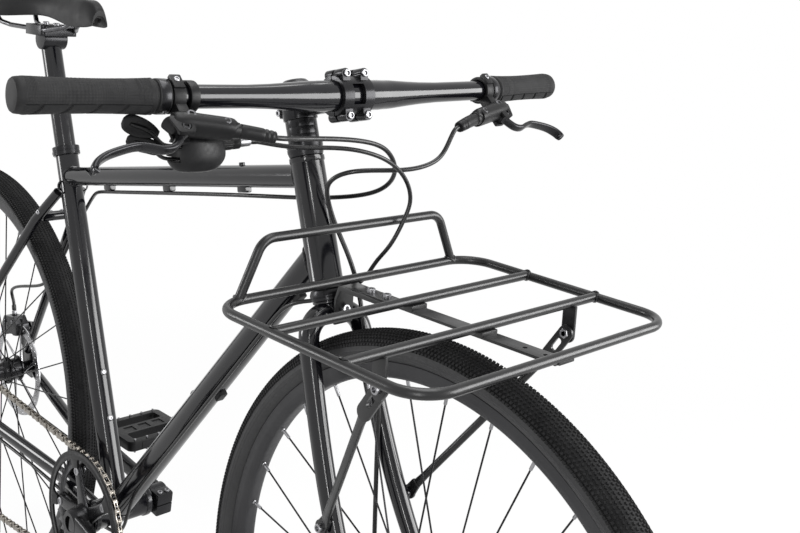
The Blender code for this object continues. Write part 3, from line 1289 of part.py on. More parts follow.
def shift_housing():
    """From the shifter's barrel round the head tube and along the down tube to the rear."""
    route = [POD + Vector((0, 0.0569, 0.0035)), POD + Vector((0.0005, 0.066, 0.0033)),
             (0.3752, -0.085, 0.8677), (0.3840, -0.045, 0.8684), (0.3945, -0.015, 0.8653),
             (0.3994, 0.015, 0.8561), (0.3962, 0.040, 0.8414), (0.3956, 0.055, 0.8241),
             (0.3950, 0.060, 0.8074), (0.3936, 0.058, 0.7953), (0.3914, 0.050, 0.7773),
             (0.3862, 0.042, 0.7562), (0.3700, 0.040, 0.7400), (0.3640, 0.037, 0.7270),
             (0.3560, 0.0340, 0.7140), (0.3420, 0.0290, 0.7010), (0.3280, 0.0180, 0.6910),
             (0.3160, 0.0040, 0.6860), (0.3070, -0.0080, 0.6850)]
    way = (DOWN_HEAD - BB).normalized()
    under = Vector((way.z, 0, -way.x)) * cos(CLIP_TURN) - Y * sin(CLIP_TURN)
    route += [BB + way * s + under * DOWN_CLIP for s in (0.535, 0.500, 0.380, 0.300, 0.120, 0.070)]
    route += [(-0.0480, -0.010, 0.2740), (-0.0700, -0.009, 0.2590), (-0.0950, -0.010, 0.2540),
              (-0.1250, -0.016, 0.2610), (-0.1600, -0.0260, 0.2730), (-0.2500, -0.0385, 0.2960),
              (-0.4000, -0.0590, 0.3190), (-0.4600, -0.0720, 0.3260), (-0.4950, -0.0776, 0.3350),
              (-0.5180, -0.0780, 0.3357), (-0.5500, -0.0785, 0.3410), (-0.5850, -0.0775, 0.3400),
              (-0.6050, -0.0770, 0.3270), (-0.6000, -0.0775, 0.3110), (-0.5800, -0.0790, 0.3060)]
    route += [HOUSING_END + Vector((-0.0240, 0.0008, -0.0036)), HOUSING_END + Vector((-0.012, 0.0004, -0.0018)),
              HOUSING_END]
    return cord("shift_housing", route, HOUSING)


def main():
    wipe()
    head_tube()
    headset_cup("headset_lower", 0.3830, HEAD_LOW - GAP, False)
    headset_cup("headset_upper", HEAD_TOP + GAP, STEM_LOW - 0.0255, True)
    top_tube()
    down_tube()
    seat_tube()
    bottom_bracket()
    for word, side in (("right", -1), ("left", 1)):
        chainstay("chainstay_" + word, side)
        seatstay("seatstay_" + word, side)
    stay_bridge()
    seat_collar()
    seatpost()
    seat_clamp()
    saddle_base()
    saddle_cover()
    fork()
    spacers()
    top_cap()
    stem()
    faceplate()
    handlebar()
    rack()
    rack_spine()
    for word, side in (("right", -1), ("left", 1)):
        grip("grip_" + word, side)
        brake_body("brake_body_" + word, side)
        brake_lever("lever_" + word, side)
        strut("rack_strut_" + word, side)
        pedal("pedal_" + word, side)
    shifter()
    shift_lever("shift_lever_upper", SHIFT_SLOTS[0], Vector((0.3450, -0.2450, 0.8965)), 0.0090)
    shift_lever("shift_lever_lower", SHIFT_SLOTS[1], Vector((0.3440, -0.2400, 0.8800)), 0.0075)
    caliper("front_caliper", FRONT_CALIPER, FRONT_RADIAL, FRONT_DISC, FRONT_DISC + CALIPER_HALF + GAP)
    caliper("rear_caliper", REAR_CALIPER, REAR_RADIAL, REAR_DISC, DROP_Y - 0.0025)
    for word, axle in (("front", FRONT), ("rear", REAR)):
        tyre(word + "_tyre", axle)
    rim("front_rim", FRONT, *FRONT_FLANGES)
    rim("rear_rim", REAR, *REAR_FLANGES)
    hub("front_hub", FRONT, *FRONT_FLANGES, 0.0497, FRONT_DISC)
    hub("rear_hub", REAR, *REAR_FLANGES, 0.0672, REAR_DISC, -0.0640)
    axle_rod("front_axle", FRONT, 0.0640)
    axle_rod("rear_axle", REAR, 0.0800)
    chainring()
    cassette()
    jockey("jockey_upper", GUIDE)
    jockey("jockey_lower", TENSION)
    derailleur_cage()
    derailleur_body()
    crank_right()
    crank_left()
    chain()
    rear_hose()
    front_hose()
    shift_housing()


main()
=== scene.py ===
"""Looks of the city bike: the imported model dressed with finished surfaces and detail.

X runs forward, Y to the rider's left and Z up, in metres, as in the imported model.
"""

import json
from math import asin, atan2, cos, exp, hypot, pi, radians, sin, sqrt

import bmesh
import bpy
from mathutils import Matrix, Vector


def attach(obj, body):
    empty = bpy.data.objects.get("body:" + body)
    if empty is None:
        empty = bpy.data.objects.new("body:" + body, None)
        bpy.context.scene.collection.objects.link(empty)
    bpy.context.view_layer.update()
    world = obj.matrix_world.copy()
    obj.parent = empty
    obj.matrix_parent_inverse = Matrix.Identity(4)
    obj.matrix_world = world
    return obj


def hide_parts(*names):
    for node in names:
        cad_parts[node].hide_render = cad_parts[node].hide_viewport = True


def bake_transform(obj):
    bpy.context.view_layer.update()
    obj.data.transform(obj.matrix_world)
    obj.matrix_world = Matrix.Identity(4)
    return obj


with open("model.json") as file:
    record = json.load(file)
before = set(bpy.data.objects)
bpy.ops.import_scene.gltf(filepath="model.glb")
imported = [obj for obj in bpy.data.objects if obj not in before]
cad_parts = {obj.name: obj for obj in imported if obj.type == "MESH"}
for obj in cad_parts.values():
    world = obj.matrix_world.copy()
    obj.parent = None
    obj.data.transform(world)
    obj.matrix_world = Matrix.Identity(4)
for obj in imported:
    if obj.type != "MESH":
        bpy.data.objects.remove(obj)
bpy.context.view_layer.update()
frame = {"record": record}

# Driving sizes, as in the CAD
WHEELBASE, TYRE_R = 1.0328, 0.3492
RIM_TOP, RIM_IN, RIM_HALF = 0.3178, 0.2994, 0.0120
HEAD_ANGLE, SEAT_ANGLE, RAKE = radians(71.06), radians(70.80), 0.0531
HEAD_LOW, HEAD_TOP = 0.3949, 0.5384
STEM_LOW, STEM_TOP = 0.5790, 0.6156
BAR_T, BAR_N, BAR_HALF, SWEEP, BAR_BEND = 0.5880, 0.0828, 0.3394, 0.0135, 0.2000
GAP = 0.0003
CRANK, CRANK_TURN, PITCH = 0.170, -7.0, 0.0127
RING_T, COG_T, JOCKEY_T = 42, 21, 11
CHAIN_Y = -0.0435
RACK_W, RACK_X, TUBE_R = 0.1716, (0.3808, 0.4716, 0.5654, 0.6589), 0.0048

X, Y, Z = Vector((1, 0, 0)), Vector((0, 1, 0)), Vector((0, 0, 1))
FRONT = Vector((WHEELBASE / 2, 0, TYRE_R))
REAR = Vector((-WHEELBASE / 2, 0, TYRE_R))
BB = Vector((-0.0866, 0, 0.2856))
UP = Vector((-cos(HEAD_ANGLE), 0, sin(HEAD_ANGLE)))
OUT = Vector((sin(HEAD_ANGLE), 0, cos(HEAD_ANGLE)))
SEAT = Vector((-cos(SEAT_ANGLE), 0, sin(SEAT_ANGLE)))
STEER = FRONT - OUT * RAKE


def steer(t, n=0.0, y=0.0):
    """A point t up the steering axis, n ahead of it and y to the left."""
    return STEER + UP * t + OUT * n + Y * y


# Camera, light and floor

EYE = Vector((1.18705, -0.70962, 1.02620))
VIEW = Vector((-0.65572, 0.74012, -0.14918))
CAMERA_UP = Vector((-0.15589, 0.06061, 0.98591))
LENS, SHIFT = 47.524, (-0.11526, -0.13685)


def camera():
    data = bpy.data.cameras.new("camera")
    data.lens, data.sensor_width = LENS, 36
    data.shift_x, data.shift_y = SHIFT
    obj = bpy.data.objects.new("camera", data)
    right = VIEW.cross(CAMERA_UP).normalized()
    up = right.cross(VIEW).normalized()
    turn = Matrix((right, up, -VIEW.normalized())).transposed().to_4x4()
    obj.matrix_world = Matrix.Translation(EYE) @ turn
    bpy.context.scene.collection.objects.link(obj)
    bpy.context.scene.camera = obj


def lamp(name, at, target, size, power):
    data = bpy.data.lights.new(name, "AREA")
    data.shape, data.size, data.size_y = "RECTANGLE", *size
    data.energy = power
    obj = bpy.data.objects.new(name, data)
    obj.location = at
    obj.rotation_euler = (Vector(target) - Vector(at)).to_track_quat("-Z", "Y").to_euler()
    bpy.context.scene.collection.objects.link(obj)


def white_behind(tree, shader, output, share=None):
    """Shows white, or a share of it, to the camera, to glossy rays and to transmission rays only."""
    nodes, links = tree.nodes, tree.links
    path = nodes.new("ShaderNodeLightPath")
    glow = nodes.new("ShaderNodeBackground" if output.type == "OUTPUT_WORLD" else "ShaderNodeEmission")
    glow.inputs["Color"].default_value = (1, 1, 1, 1)
    glow.inputs["Strength"].default_value = 1.0
    seen = path.outputs["Is Camera Ray"]
    for extra in ("Is Glossy Ray", "Is Transmission Ray"):
        most = nodes.new("ShaderNodeMath")
        most.operation = "MAXIMUM"
        links.new(seen, most.inputs[0])
        links.new(path.outputs[extra], most.inputs[1])
        seen = most.outputs[0]
    if share:
        part = nodes.new("ShaderNodeMath")
        part.operation = "MULTIPLY"
        links.new(seen, part.inputs[0])
        links.new(share, part.inputs[1])
        seen = part.outputs[0]
    mix = nodes.new("ShaderNodeMixShader")
    links.new(seen, mix.inputs[0])
    links.new(shader, mix.inputs[1])
    links.new(glow.outputs[0], mix.inputs[2])
    links.new(mix.outputs[0], output.inputs["Surface"])


def studio():
    bpy.context.scene.view_settings.view_transform = "Standard"
    world = bpy.data.worlds.new("studio")
    bpy.context.scene.world = world
    world.use_nodes = True
    back = world.node_tree.nodes["Background"]
    back.inputs["Color"].default_value = (1, 1, 1, 1)
    back.inputs["Strength"].default_value = 0.35
    white_behind(world.node_tree, back.outputs[0], world.node_tree.nodes["World Output"])
    lamp("front_left", (2.5, 1.85, 1.25), (0.4, 0.4, 0.9), (2.3, 1.6), 115)
    lamp("rear_right", (-1.8, -2.0, 1.2), (0.3, 0, 0.7), (0.7, 0.9), 26)
    lamp("strip_camera", (2.1, -2.1, 1.1), (0, 0, 0.6), (0.12, 2.0), 24)
    lamp("top", (0.3, 0.3, 2.8), (0.1, 0, 0.6), (2.2, 1.0), 30)


def floor():
    mesh = bpy.data.meshes.new("floor")
    far = 8.0
    mesh.from_pydata([(-far, -far, 0), (far, -far, 0), (far, far, 0), (-far, far, 0)], [], [(0, 1, 2, 3)])
    obj = bpy.data.objects.new("floor", mesh)
    bpy.context.scene.collection.objects.link(obj)
    look = bpy.data.materials.new("floor")
    look.use_nodes = True
    shader = look.node_tree.nodes["Principled BSDF"]
    shader.inputs["Base Color"].default_value = (0.92, 0.92, 0.92, 1)
    shader.inputs["Roughness"].default_value = 0.9
    nodes, links = look.node_tree.nodes, look.node_tree.links
    place = nodes.new("ShaderNodeTexCoord").outputs["Object"]
    away = nodes.new("ShaderNodeVectorMath")
    away.operation = "LENGTH"
    links.new(place, away.inputs[0])
    share = nodes.new("ShaderNodeMapRange")
    for key, number in zip(("From Min", "From Max", "To Min", "To Max"), (0.6, 2.0, 0.88, 1.0)):
        share.inputs[key].default_value = number
    links.new(away.outputs["Value"], share.inputs["Value"])
    white_behind(look.node_tree, shader.outputs[0], nodes["Material Output"], share.outputs["Result"])
    mesh.materials.append(look)


# Surfaces


class Look:
    """A Principled material put together from small node steps."""

    def __init__(self, name, colour, metal=0.0, rough=0.4, **more):
        self.made = bpy.data.materials.new(name)
        self.made.use_nodes = True
        self.tree = self.made.node_tree
        self.shader = self.tree.nodes["Principled BSDF"]
        self.shader.inputs["Base Color"].default_value = (*colour, 1)
        self.shader.inputs["Metallic"].default_value = metal
        self.shader.inputs["Roughness"].default_value = rough
        for socket, value in more.items():
            self.shader.inputs[socket.replace("_", " ")].default_value = value
        self.bumps = None
        self.place = self.tree.nodes.new("ShaderNodeTexCoord").outputs["Object"]

    def node(self, kind, **settings):
        node = self.tree.nodes.new("ShaderNode" + kind)
        for key, value in settings.items():
            if key in node.inputs:
                node.inputs[key].default_value = value
            else:
                setattr(node, key, value)
        return node

    def link(self, a, b):
        self.tree.links.new(a, b)

    def noise(self, scale, detail=3.0, stretch=None):
        """Noise of a size in millimetres, drawn out along an axis where stretch says."""
        node = self.node("TexNoise")
        node.inputs["Scale"].default_value = 1000.0 / scale
        node.inputs["Detail"].default_value = detail
        spot = self.place
        if stretch:
            mapped = self.node("Mapping")
            mapped.inputs["Scale"].default_value = stretch
            self.link(self.place, mapped.inputs["Vector"])
            spot = mapped.outputs[0]
        self.link(spot, node.inputs["Vector"])
        return node.outputs["Fac"]

    def cells(self, scale, feature="DISTANCE_TO_EDGE"):
        node = self.node("TexVoronoi", feature=feature)
        node.inputs["Scale"].default_value = 1000.0 / scale
        self.link(self.place, node.inputs["Vector"])
        return node.outputs["Distance"]

    def spread(self, value, low, high, clip=(0.3, 0.7)):
        node = self.node("MapRange")
        for key, number in zip(("From Min", "From Max", "To Min", "To Max"), (*clip, low, high)):
            node.inputs[key].default_value = number
        self.link(value, node.inputs["Value"])
        return node.outputs["Result"]

    def roughen(self, value, low, high):
        self.link(self.spread(value, low, high), self.shader.inputs["Roughness"])
        return self

    def tint(self, value, first, second, clip=(0.3, 0.7)):
        mix = self.node("MixRGB")
        mix.inputs[1].default_value = (*first, 1)
        mix.inputs[2].default_value = (*second, 1)
        self.link(self.spread(value, 0, 1, clip), mix.inputs[0])
        self.link(mix.outputs[0], self.shader.inputs["Base Color"])
        return self

    def bump(self, value, strength, deep):
        node = self.node("Bump")
        node.inputs["Strength"].default_value = strength
        node.inputs["Distance"].default_value = deep
        self.link(value, node.inputs["Height"])
        if self.bumps:
            self.link(self.bumps, node.inputs["Normal"])
        self.bumps = node.outputs[0]
        self.link(self.bumps, self.shader.inputs["Normal"])
        return self


def looks():
    """Every surface of the bike."""
    made = {}
    look = Look("paint_gloss", (0.004, 0.004, 0.0055), 0.0, 0.1, Specular_IOR_Level=0.45)
    look.roughen(look.noise(9, 4), 0.10, 0.16)
    look.bump(look.noise(1.4, 2), 0.02, 0.0002)
    made["paint"] = look
    look = Look("powder_satin", (0.009, 0.009, 0.0095), 0.0, 0.36, Specular_IOR_Level=0.42)
    look.roughen(look.noise(12, 4), 0.27, 0.36)
    look.bump(look.noise(0.7, 2), 0.10, 0.0001)
    made["powder"] = look
    look = Look("anodised_black", (0.014, 0.014, 0.016), 0.55, 0.3, Specular_IOR_Level=0.4)
    look.roughen(look.noise(14, 4), 0.20, 0.30)
    look.tint(look.noise(25, 3), (0.011, 0.011, 0.012), (0.018, 0.018, 0.020))
    look.bump(look.noise(0.5, 2), 0.06, 0.0001)
    made["anodised"] = look
    look = Look("rim_black", (0.040, 0.040, 0.043), 0.35, 0.42, Specular_IOR_Level=0.3)
    look.roughen(look.noise(5, 4), 0.36, 0.48)
    look.tint(look.noise(60, 3), (0.028, 0.028, 0.030), (0.037, 0.037, 0.039))
    look.bump(look.noise(0.5, 2), 0.05, 0.0001)
    made["rim"] = look
    look = Look("steel_bright", (0.29, 0.29, 0.30), 1.0, 0.38)
    look.roughen(look.noise(2.5, 5, (1, 0.15, 1)), 0.30, 0.46)
    look.tint(look.noise(8, 3), (0.24, 0.24, 0.25), (0.34, 0.34, 0.35))
    made["steel"] = look
    look = Look("steel_dark", (0.10, 0.10, 0.105), 1.0, 0.32)
    look.roughen(look.noise(2.5, 5), 0.26, 0.42)
    look.tint(look.noise(8, 3), (0.085, 0.085, 0.09), (0.13, 0.13, 0.135))
    made["dark_steel"] = look
    look = Look("spoke_black", (0.010, 0.010, 0.011), 0.6, 0.28, Specular_IOR_Level=0.35)
    look.roughen(look.noise(4, 3), 0.22, 0.36)
    made["spoke"] = look
    look = Look("chain_plated", (0.26, 0.24, 0.21), 1.0, 0.3)
    look.tint(look.noise(5, 5), (0.18, 0.165, 0.145), (0.36, 0.335, 0.30))
    look.roughen(look.noise(2, 4), 0.22, 0.42)
    look.bump(look.noise(0.8, 3), 0.05, 0.0001)
    made["chain"] = look
    look = Look("tread_rubber", (0.012, 0.012, 0.012), 0.0, 0.72, Specular_IOR_Level=0.2)
    look.tint(look.noise(14, 4), (0.009, 0.009, 0.0095), (0.016, 0.016, 0.0165))
    look.roughen(look.noise(2, 4), 0.62, 0.85)
    look.bump(look.noise(0.6, 3), 0.18, 0.0002)
    made["tread"] = look
    look = Look("wall_rubber", (0.034, 0.034, 0.035), 0.0, 0.58, Specular_IOR_Level=0.25)
    look.tint(look.noise(40, 4), (0.030, 0.030, 0.031), (0.040, 0.040, 0.041))
    look.roughen(look.noise(3, 4), 0.5, 0.66)
    look.bump(look.noise(0.5, 3), 0.10, 0.0001)
    made["wall"] = look
    look = Look("grip_rubber", (0.011, 0.011, 0.012), 0.0, 0.62, Specular_IOR_Level=0.22)
    look.tint(look.noise(9, 3), (0.009, 0.009, 0.0095), (0.015, 0.015, 0.0155))
    look.bump(look.noise(0.35, 3), 0.16, 0.0001)
    made["grip"] = look
    look = Look("plastic_moulded", (0.006, 0.006, 0.0065), 0.0, 0.42, Specular_IOR_Level=0.22)
    look.roughen(look.noise(4, 4), 0.34, 0.50)
    look.bump(look.cells(0.45), 0.10, 0.0001)
    made["plastic"] = look
    look = Look("saddle_cover", (0.010, 0.010, 0.011), 0.0, 0.5, Specular_IOR_Level=0.2)
    look.roughen(look.noise(20, 4), 0.40, 0.56)
    look.tint(look.noise(30, 3), (0.007, 0.007, 0.0075), (0.011, 0.011, 0.0115))
    look.bump(look.cells(1.1), 0.16, 0.0002).bump(look.noise(0.5, 3), 0.08, 0.0001)
    made["cover"] = look
    look = Look("sheath_black", (0.006, 0.006, 0.0065), 0.0, 0.30, Specular_IOR_Level=0.4)
    look.roughen(look.noise(6, 3), 0.24, 0.38)
    look.bump(look.noise(0.6, 2), 0.05, 0.0001)
    made["sheath"] = look
    look = Look("disc_steel", (0.42, 0.42, 0.43), 1.0, 0.3)
    look.roughen(look.noise(1.2, 5), 0.22, 0.42)
    look.tint(look.noise(6, 4), (0.36, 0.36, 0.37), (0.48, 0.48, 0.49))
    look.bump(look.noise(0.4, 3), 0.08, 0.0001)
    made["disc"] = look
    return {key: look.made for key, look in made.items()}


LOOK = looks()


# Shapes: each helper makes one closed mesh, and piece() joins them


def solid(points, faces, look, edge=0.0, steps=2):
    """A mesh from points and faces. Its sharp edges are rounded by the width edge."""
    mesh = bpy.data.meshes.new("shape")
    mesh.from_pydata([tuple(p) for p in points], [], faces)
    work = bmesh.new()
    work.from_mesh(mesh)
    bmesh.ops.recalc_face_normals(work, faces=work.faces)
    if edge:
        sharp = [e for e in work.edges if len(e.link_faces) == 2 and e.calc_face_angle(0) > 0.6]
        bmesh.ops.bevel(work, geom=sharp, offset=edge, segments=steps, profile=0.7, affect="EDGES",
                        clamp_overlap=True)
    work.to_mesh(mesh)
    work.free()
    obj = bpy.data.objects.new("shape", mesh)
    bpy.context.scene.collection.objects.link(obj)
    mesh.materials.append(LOOK[look])
    return obj


def ring_faces(count, segs, closed):
    faces = []
    for i in range(count if closed else count - 1):
        j = (i + 1) % count
        for k in range(segs):
            m = (k + 1) % segs
            faces.append((i * segs + k, i * segs + m, j * segs + m, j * segs + k))
    if not closed:
        faces.append(tuple(range(segs)))
        faces.append(tuple((count - 1) * segs + k for k in range(segs)))
    return faces


def finer(rows, steps):
    """Rows of numbers with smooth ones put between them."""
    ends = [[2 * a - b for a, b in zip(rows[0], rows[1])]] + rows
    ends.append([2 * a - b for a, b in zip(rows[-1], rows[-2])])
    made = []
    for a, b, c, d in zip(ends, ends[1:], ends[2:], ends[3:]):
        for k in range(steps):
            t = k / steps
            made.append([0.5 * (2 * q + (r - p) * t + (2 * p - 5 * q + 4 * r - s) * t * t
                                + (3 * q - p - 3 * r + s) * t ** 3) for p, q, r, s in zip(a, b, c, d)])
    return made + [rows[-1]]


def tube(path, radii, look, segs=24, side=Y, closed=False, fine=0, dome=(0, 0), square=1.0):
    """A bar along a path. A radius is a number or (across, along side); dome rounds off its ends."""
    path = [Vector(p) for p in path]
    if not isinstance(radii, (list, tuple)) or len(radii) != len(path):
        radii = [radii] * len(path)
    rows = [[*p, *((r, r) if isinstance(r, (int, float)) else r)] for p, r in zip(path, radii)]
    if fine:
        rows = finer(rows, fine)
    for end, share in enumerate(dome):
        if not share:
            continue
        last, before = (rows[0], rows[1]) if end == 0 else (rows[-1], rows[-2])
        way = (Vector(last[:3]) - Vector(before[:3])).normalized()
        reach = share * min(last[3:])
        cap = []
        for turn in (18, 36, 54, 72, 86):
            grow = cos(radians(turn))
            cap.append([*(Vector(last[:3]) + way * (reach * (sin(radians(turn)) - 1))),
                        last[3] * grow, last[4] * grow])
        base = [*(Vector(last[:3]) - way * reach), *last[3:]]
        rows = ([*reversed(cap), base] + rows[1:]) if end == 0 else (rows[:-1] + [base, *cap])
    points, last = [], len(rows) - 1
    spots = [Vector(row[:3]) for row in rows]
    for i, row in enumerate(rows):
        p = spots[i]
        before = spots[i - 1] if i or closed else p
        after = spots[(i + 1) % len(rows)] if i < last or closed else p
        way = ((p - before).normalized() + (after - p).normalized()).normalized()
        across = side.cross(way).normalized()
        along = way.cross(across)
        for k in range(segs):
            turn = 2 * pi * (k + 0.5) / segs
            u, v = cos(turn), sin(turn)
            u, v = abs(u) ** square * (1 if u > 0 else -1), abs(v) ** square * (1 if v > 0 else -1)
            points.append(p + across * (row[3] * u) + along * (row[4] * v))
    return solid(points, ring_faces(len(rows), segs, closed), look)


def hose(path, thick, look, segs=14, closed=False, wave=None):
    """A round cord along any path in space, its rings carried on without a twist."""
    path = [Vector(p) for p in path]
    count = len(path)
    ways = []
    for i in range(count):
        a = path[i - 1] if i or closed else path[i]
        b = path[(i + 1) % count] if i < count - 1 or closed else path[i]
        ways.append((b - a).normalized())
    across = ways[0].orthogonal().normalized()
    points = []
    for i, (p, way) in enumerate(zip(path, ways)):
        across = (across - way * across.dot(way)).normalized()
        along = way.cross(across)
        r = thick / 2 * (wave(i) if wave else 1)
        points += [p + across * (r * cos(2 * pi * k / segs)) + along * (r * sin(2 * pi * k / segs))
                   for k in range(segs)]
    return solid(points, ring_faces(count, segs, closed), look)


def lathe(profile, at, axis, look, segs=48, edge=0.0, one=None, shape=None):
    """Turns (radius, height) points about an axis; a closed loop if no radius is 0."""
    axis = Vector(axis).normalized()
    one = one or axis.orthogonal().normalized()
    two = axis.cross(one)
    whole = profile[0][0] > 0 and profile[-1][0] > 0
    points = []
    for r, h in profile:
        if r <= 0:
            continue
        for k in range(segs):
            turn = 2 * pi * k / segs
            grow = shape(turn, r, h) if shape else 1
            points.append(at + axis * h + (one * cos(turn) + two * sin(turn)) * (r * grow))
    return solid(points, ring_faces(len(points) // segs, segs, whole), look, edge)


def rod(a, b, r, look, segs=24, edge=0.0004, tip=None):
    a, b = Vector(a), Vector(b)
    end = r if tip is None else tip
    return lathe([(0, 0), (r, 0), (end, (b - a).length), (0, 0)], a, b - a, look, segs, edge)


def sleeve(a, b, r_out, r_in, look, segs=48, edge=0.0004):
    a, b = Vector(a), Vector(b)
    length = (b - a).length
    return lathe([(r_out, 0), (r_out, length), (r_in, length), (r_in, 0)], a, b - a, look, segs, edge)


def plate(outline, at, ex, ey, thick, look, edge=0.0004):
    """A flat plate from a 2D outline, centred on the plane of ex and ey."""
    ez = ex.cross(ey).normalized() * (thick / 2)
    flat = [Vector(at) + ex * u + ey * v for u, v in outline]
    n = len(flat)
    points = [p - ez for p in flat] + [p + ez for p in flat]
    faces = [tuple(range(n)), tuple(range(n, 2 * n))]
    faces += [(i, (i + 1) % n, n + (i + 1) % n, n + i) for i in range(n)]
    return solid(points, faces, look, edge)


def block(at, size, look, ex=X, ey=Y, edge=0.0006):
    w, d = size[0] / 2, size[1] / 2
    return plate([(-w, -d), (w, -d), (w, d), (-w, d)], at, ex, ey, size[2], look, edge)


def arc(middle, radius, start, end, steps=8):
    """Points of an arc, for an outline; the angles are in degrees."""
    turns = [radians(start + (end - start) * k / steps) for k in range(steps + 1)]
    return [(middle[0] + radius * cos(t), middle[1] + radius * sin(t)) for t in turns]


def bolt(at, way, r, high, look="steel", key=0.55):
    """A cap screw's head with a hexagonal socket; at is where it meets the part."""
    profile = [(0, 0), (r, 0), (r, high - 0.0006), (r - 0.0006, high), (r * key, high),
               (r * key * 0.98, high * 0.4), (0, high * 0.4)]
    return lathe(profile, Vector(at), way, look, 24)


def cut(obj, cutters, how="DIFFERENCE"):
    """Cuts shapes from obj and removes them."""
    for other in cutters:
        step = obj.modifiers.new("cut", "BOOLEAN")
        step.operation, step.solver, step.object = how, "EXACT", other
        bpy.context.view_layer.objects.active = obj
        bpy.ops.object.modifier_apply(modifier=step.name)
        bpy.data.objects.remove(other)
    return obj


def soften(obj, edge, angle=35):
    """Rounds the sharp edges of a finished shape."""
    step = obj.modifiers.new("soften", "BEVEL")
    step.width, step.segments, step.limit_method = edge, 2, "ANGLE"
    step.angle_limit, step.harden_normals = radians(angle), False
    bpy.context.view_layer.objects.active = obj
    bpy.ops.object.modifier_apply(modifier=step.name)
    return obj


def corners(points, radius, steps=10, closed=False):
    """Rounds the bends of a polyline, each with its own arc of the radius."""
    points = [Vector(p) for p in points]
    made, n = [], len(points)
    for i, p in enumerate(points):
        if not closed and i in (0, n - 1):
            made.append(p)
            continue
        a, b = (points[i - 1] - p).normalized(), (points[(i + 1) % n] - p).normalized()
        half = a.angle(b) / 2
        reach = radius / max(0.05, abs(sin(half) / cos(half)))
        middle = p + (a + b).normalized() * (radius / sin(half))
        first, last = p + a * reach - middle, p + b * reach - middle
        bend = first.angle(last)
        for k in range(steps + 1):
            t = k / steps
            made.append(middle + (first * sin(bend * (1 - t)) + last * sin(bend * t)) / sin(bend))
    return made


def bead(a, b, r, c, d, big, look="paint", width=0.0030, ripples=70):
    """A weld's bead where the tube from a to b, of radius r, meets the one from c to d."""
    a, b, c, d = (Vector(p) for p in (a, b, c, d))
    way, axis = (b - a).normalized(), (d - c).normalized()
    u = way.orthogonal().normalized()
    v = way.cross(u)
    path = []
    for k in range(ripples):
        turn = 2 * pi * k / ripples
        start = a + (u * cos(turn) + v * sin(turn)) * (r + 0.0004)
        flat_way = way - axis * way.dot(axis)
        gap = start - c
        gap -= axis * gap.dot(axis)
        aa, bb, cc = flat_way.dot(flat_way), 2 * gap.dot(flat_way), gap.dot(gap) - (big + 0.0003) ** 2
        inside = max(0.0, bb * bb - 4 * aa * cc)
        path.append(start + way * ((-bb - sqrt(inside)) / (2 * aa)))
    return hose(path, width, look, 10, True, lambda i: 1 + 0.07 * (i % 2))


BODIES = frame["record"]["behaviour"]["bodies"]
BODY_OF = {node: body for body, nodes in BODIES.items() for node in nodes}


def piece(name, shapes, *nodes, body=None, angle=35, blend=None):
    """Joins shapes into one finished piece, which stands for the CAD nodes; it rides with their body unless
    blend is given, when its transform is only baked in.
    """
    first = shapes[0]
    if len(shapes) > 1:
        with bpy.context.temp_override(active_object=first, object=first, selected_objects=shapes,
                                       selected_editable_objects=shapes):
            bpy.ops.object.join()
    first.name = first.data.name = name
    for face in first.data.polygons:
        face.use_smooth = True
    first.data.set_sharp_from_angle(angle=radians(angle))
    if blend:
        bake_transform(first)
    else:
        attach(first, body or BODY_OF[nodes[0]])
    if nodes:
        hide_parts(*nodes)
    return first


# Frame

TOP_HEAD, TOP_SEAT = Vector((0.2983, 0, 0.8210)), Vector((-0.2395, 0, 0.7292))
DOWN_HEAD = Vector((0.3231, 0, 0.7448))
DOWN_CLIPS = (0.2789, 0.1373)
SEAT_TOP = 0.5110
HEAD_R, SEAT_R, TOP_R, DOWN_R, DOWN_R_HEAD = 0.0180, 0.0150, 0.0130, 0.0175, 0.0145
STAY_TOP, STAY_MID = Vector((-0.2360, 0.0150, 0.7130)), Vector((-0.2840, 0.0290, 0.6600))
STAY_END, DROP_Y = Vector((-0.5120, 0.0650, 0.3760)), 0.0703


def mirrored(p, side):
    return Vector((p[0], p[1] * side, p[2]))


def short(a, b, start, end):
    """The line from a to b, cut short by start and end."""
    way = (b - a).normalized()
    return [a + way * start, b - way * end]


def eye_bolt(at, way, r=0.0045, high=0.0022):
    """A threaded boss with its button head screw."""
    way = way.normalized()
    return [rod(at - way * 0.004, at, r + 0.0006, "paint", 20),
            lathe([(0, 0), (r, 0), (r * 0.9, high * 0.5), (r * 0.6, high), (r * 0.42, high),
                   (r * 0.40, high * 0.3), (0, high * 0.3)], at, way, "steel", 20)]


def head_tube():
    long = HEAD_TOP - HEAD_LOW
    r = HEAD_R
    profile = [(r + 0.0012, 0.0006), (r + 0.0012, 0.0085), (r + 0.0006, 0.0100), (r, 0.0112),
               (r, long - 0.0064), (r + 0.0006, long - 0.0056), (r + 0.0010, long - 0.0048),
               (r + 0.0010, long - 0.0005), (0.0172, long), (0.0168, long - 0.001), (0.0168, 0.001),
               (0.0172, 0)]
    piece("head_tube_finish", [lathe(profile, steer(HEAD_LOW), UP, "paint", 64)], "head_tube")


def headset(name, node, low, high, flip):
    """A bearing cup with a turned groove and a seal line."""
    wide, seat, span = 0.0196, 0.0180, high - low
    outer = [(seat + 0.0004, 0), (wide, 0.0006), (wide, span * 0.30), (wide - 0.0004, span * 0.33),
             (wide - 0.0004, span * 0.38), (wide, span * 0.41), (wide, span * 0.62), (seat, span - 0.0003),
             (seat - 0.001, span)]
    if flip:
        outer = [(r, span - h) for r, h in reversed(outer)]
    profile = outer + [(0.0150, span - 0.0003), (0.0150, 0.0003)]
    piece(name, [lathe(profile, steer(low), UP, "anodised", 64)], node)


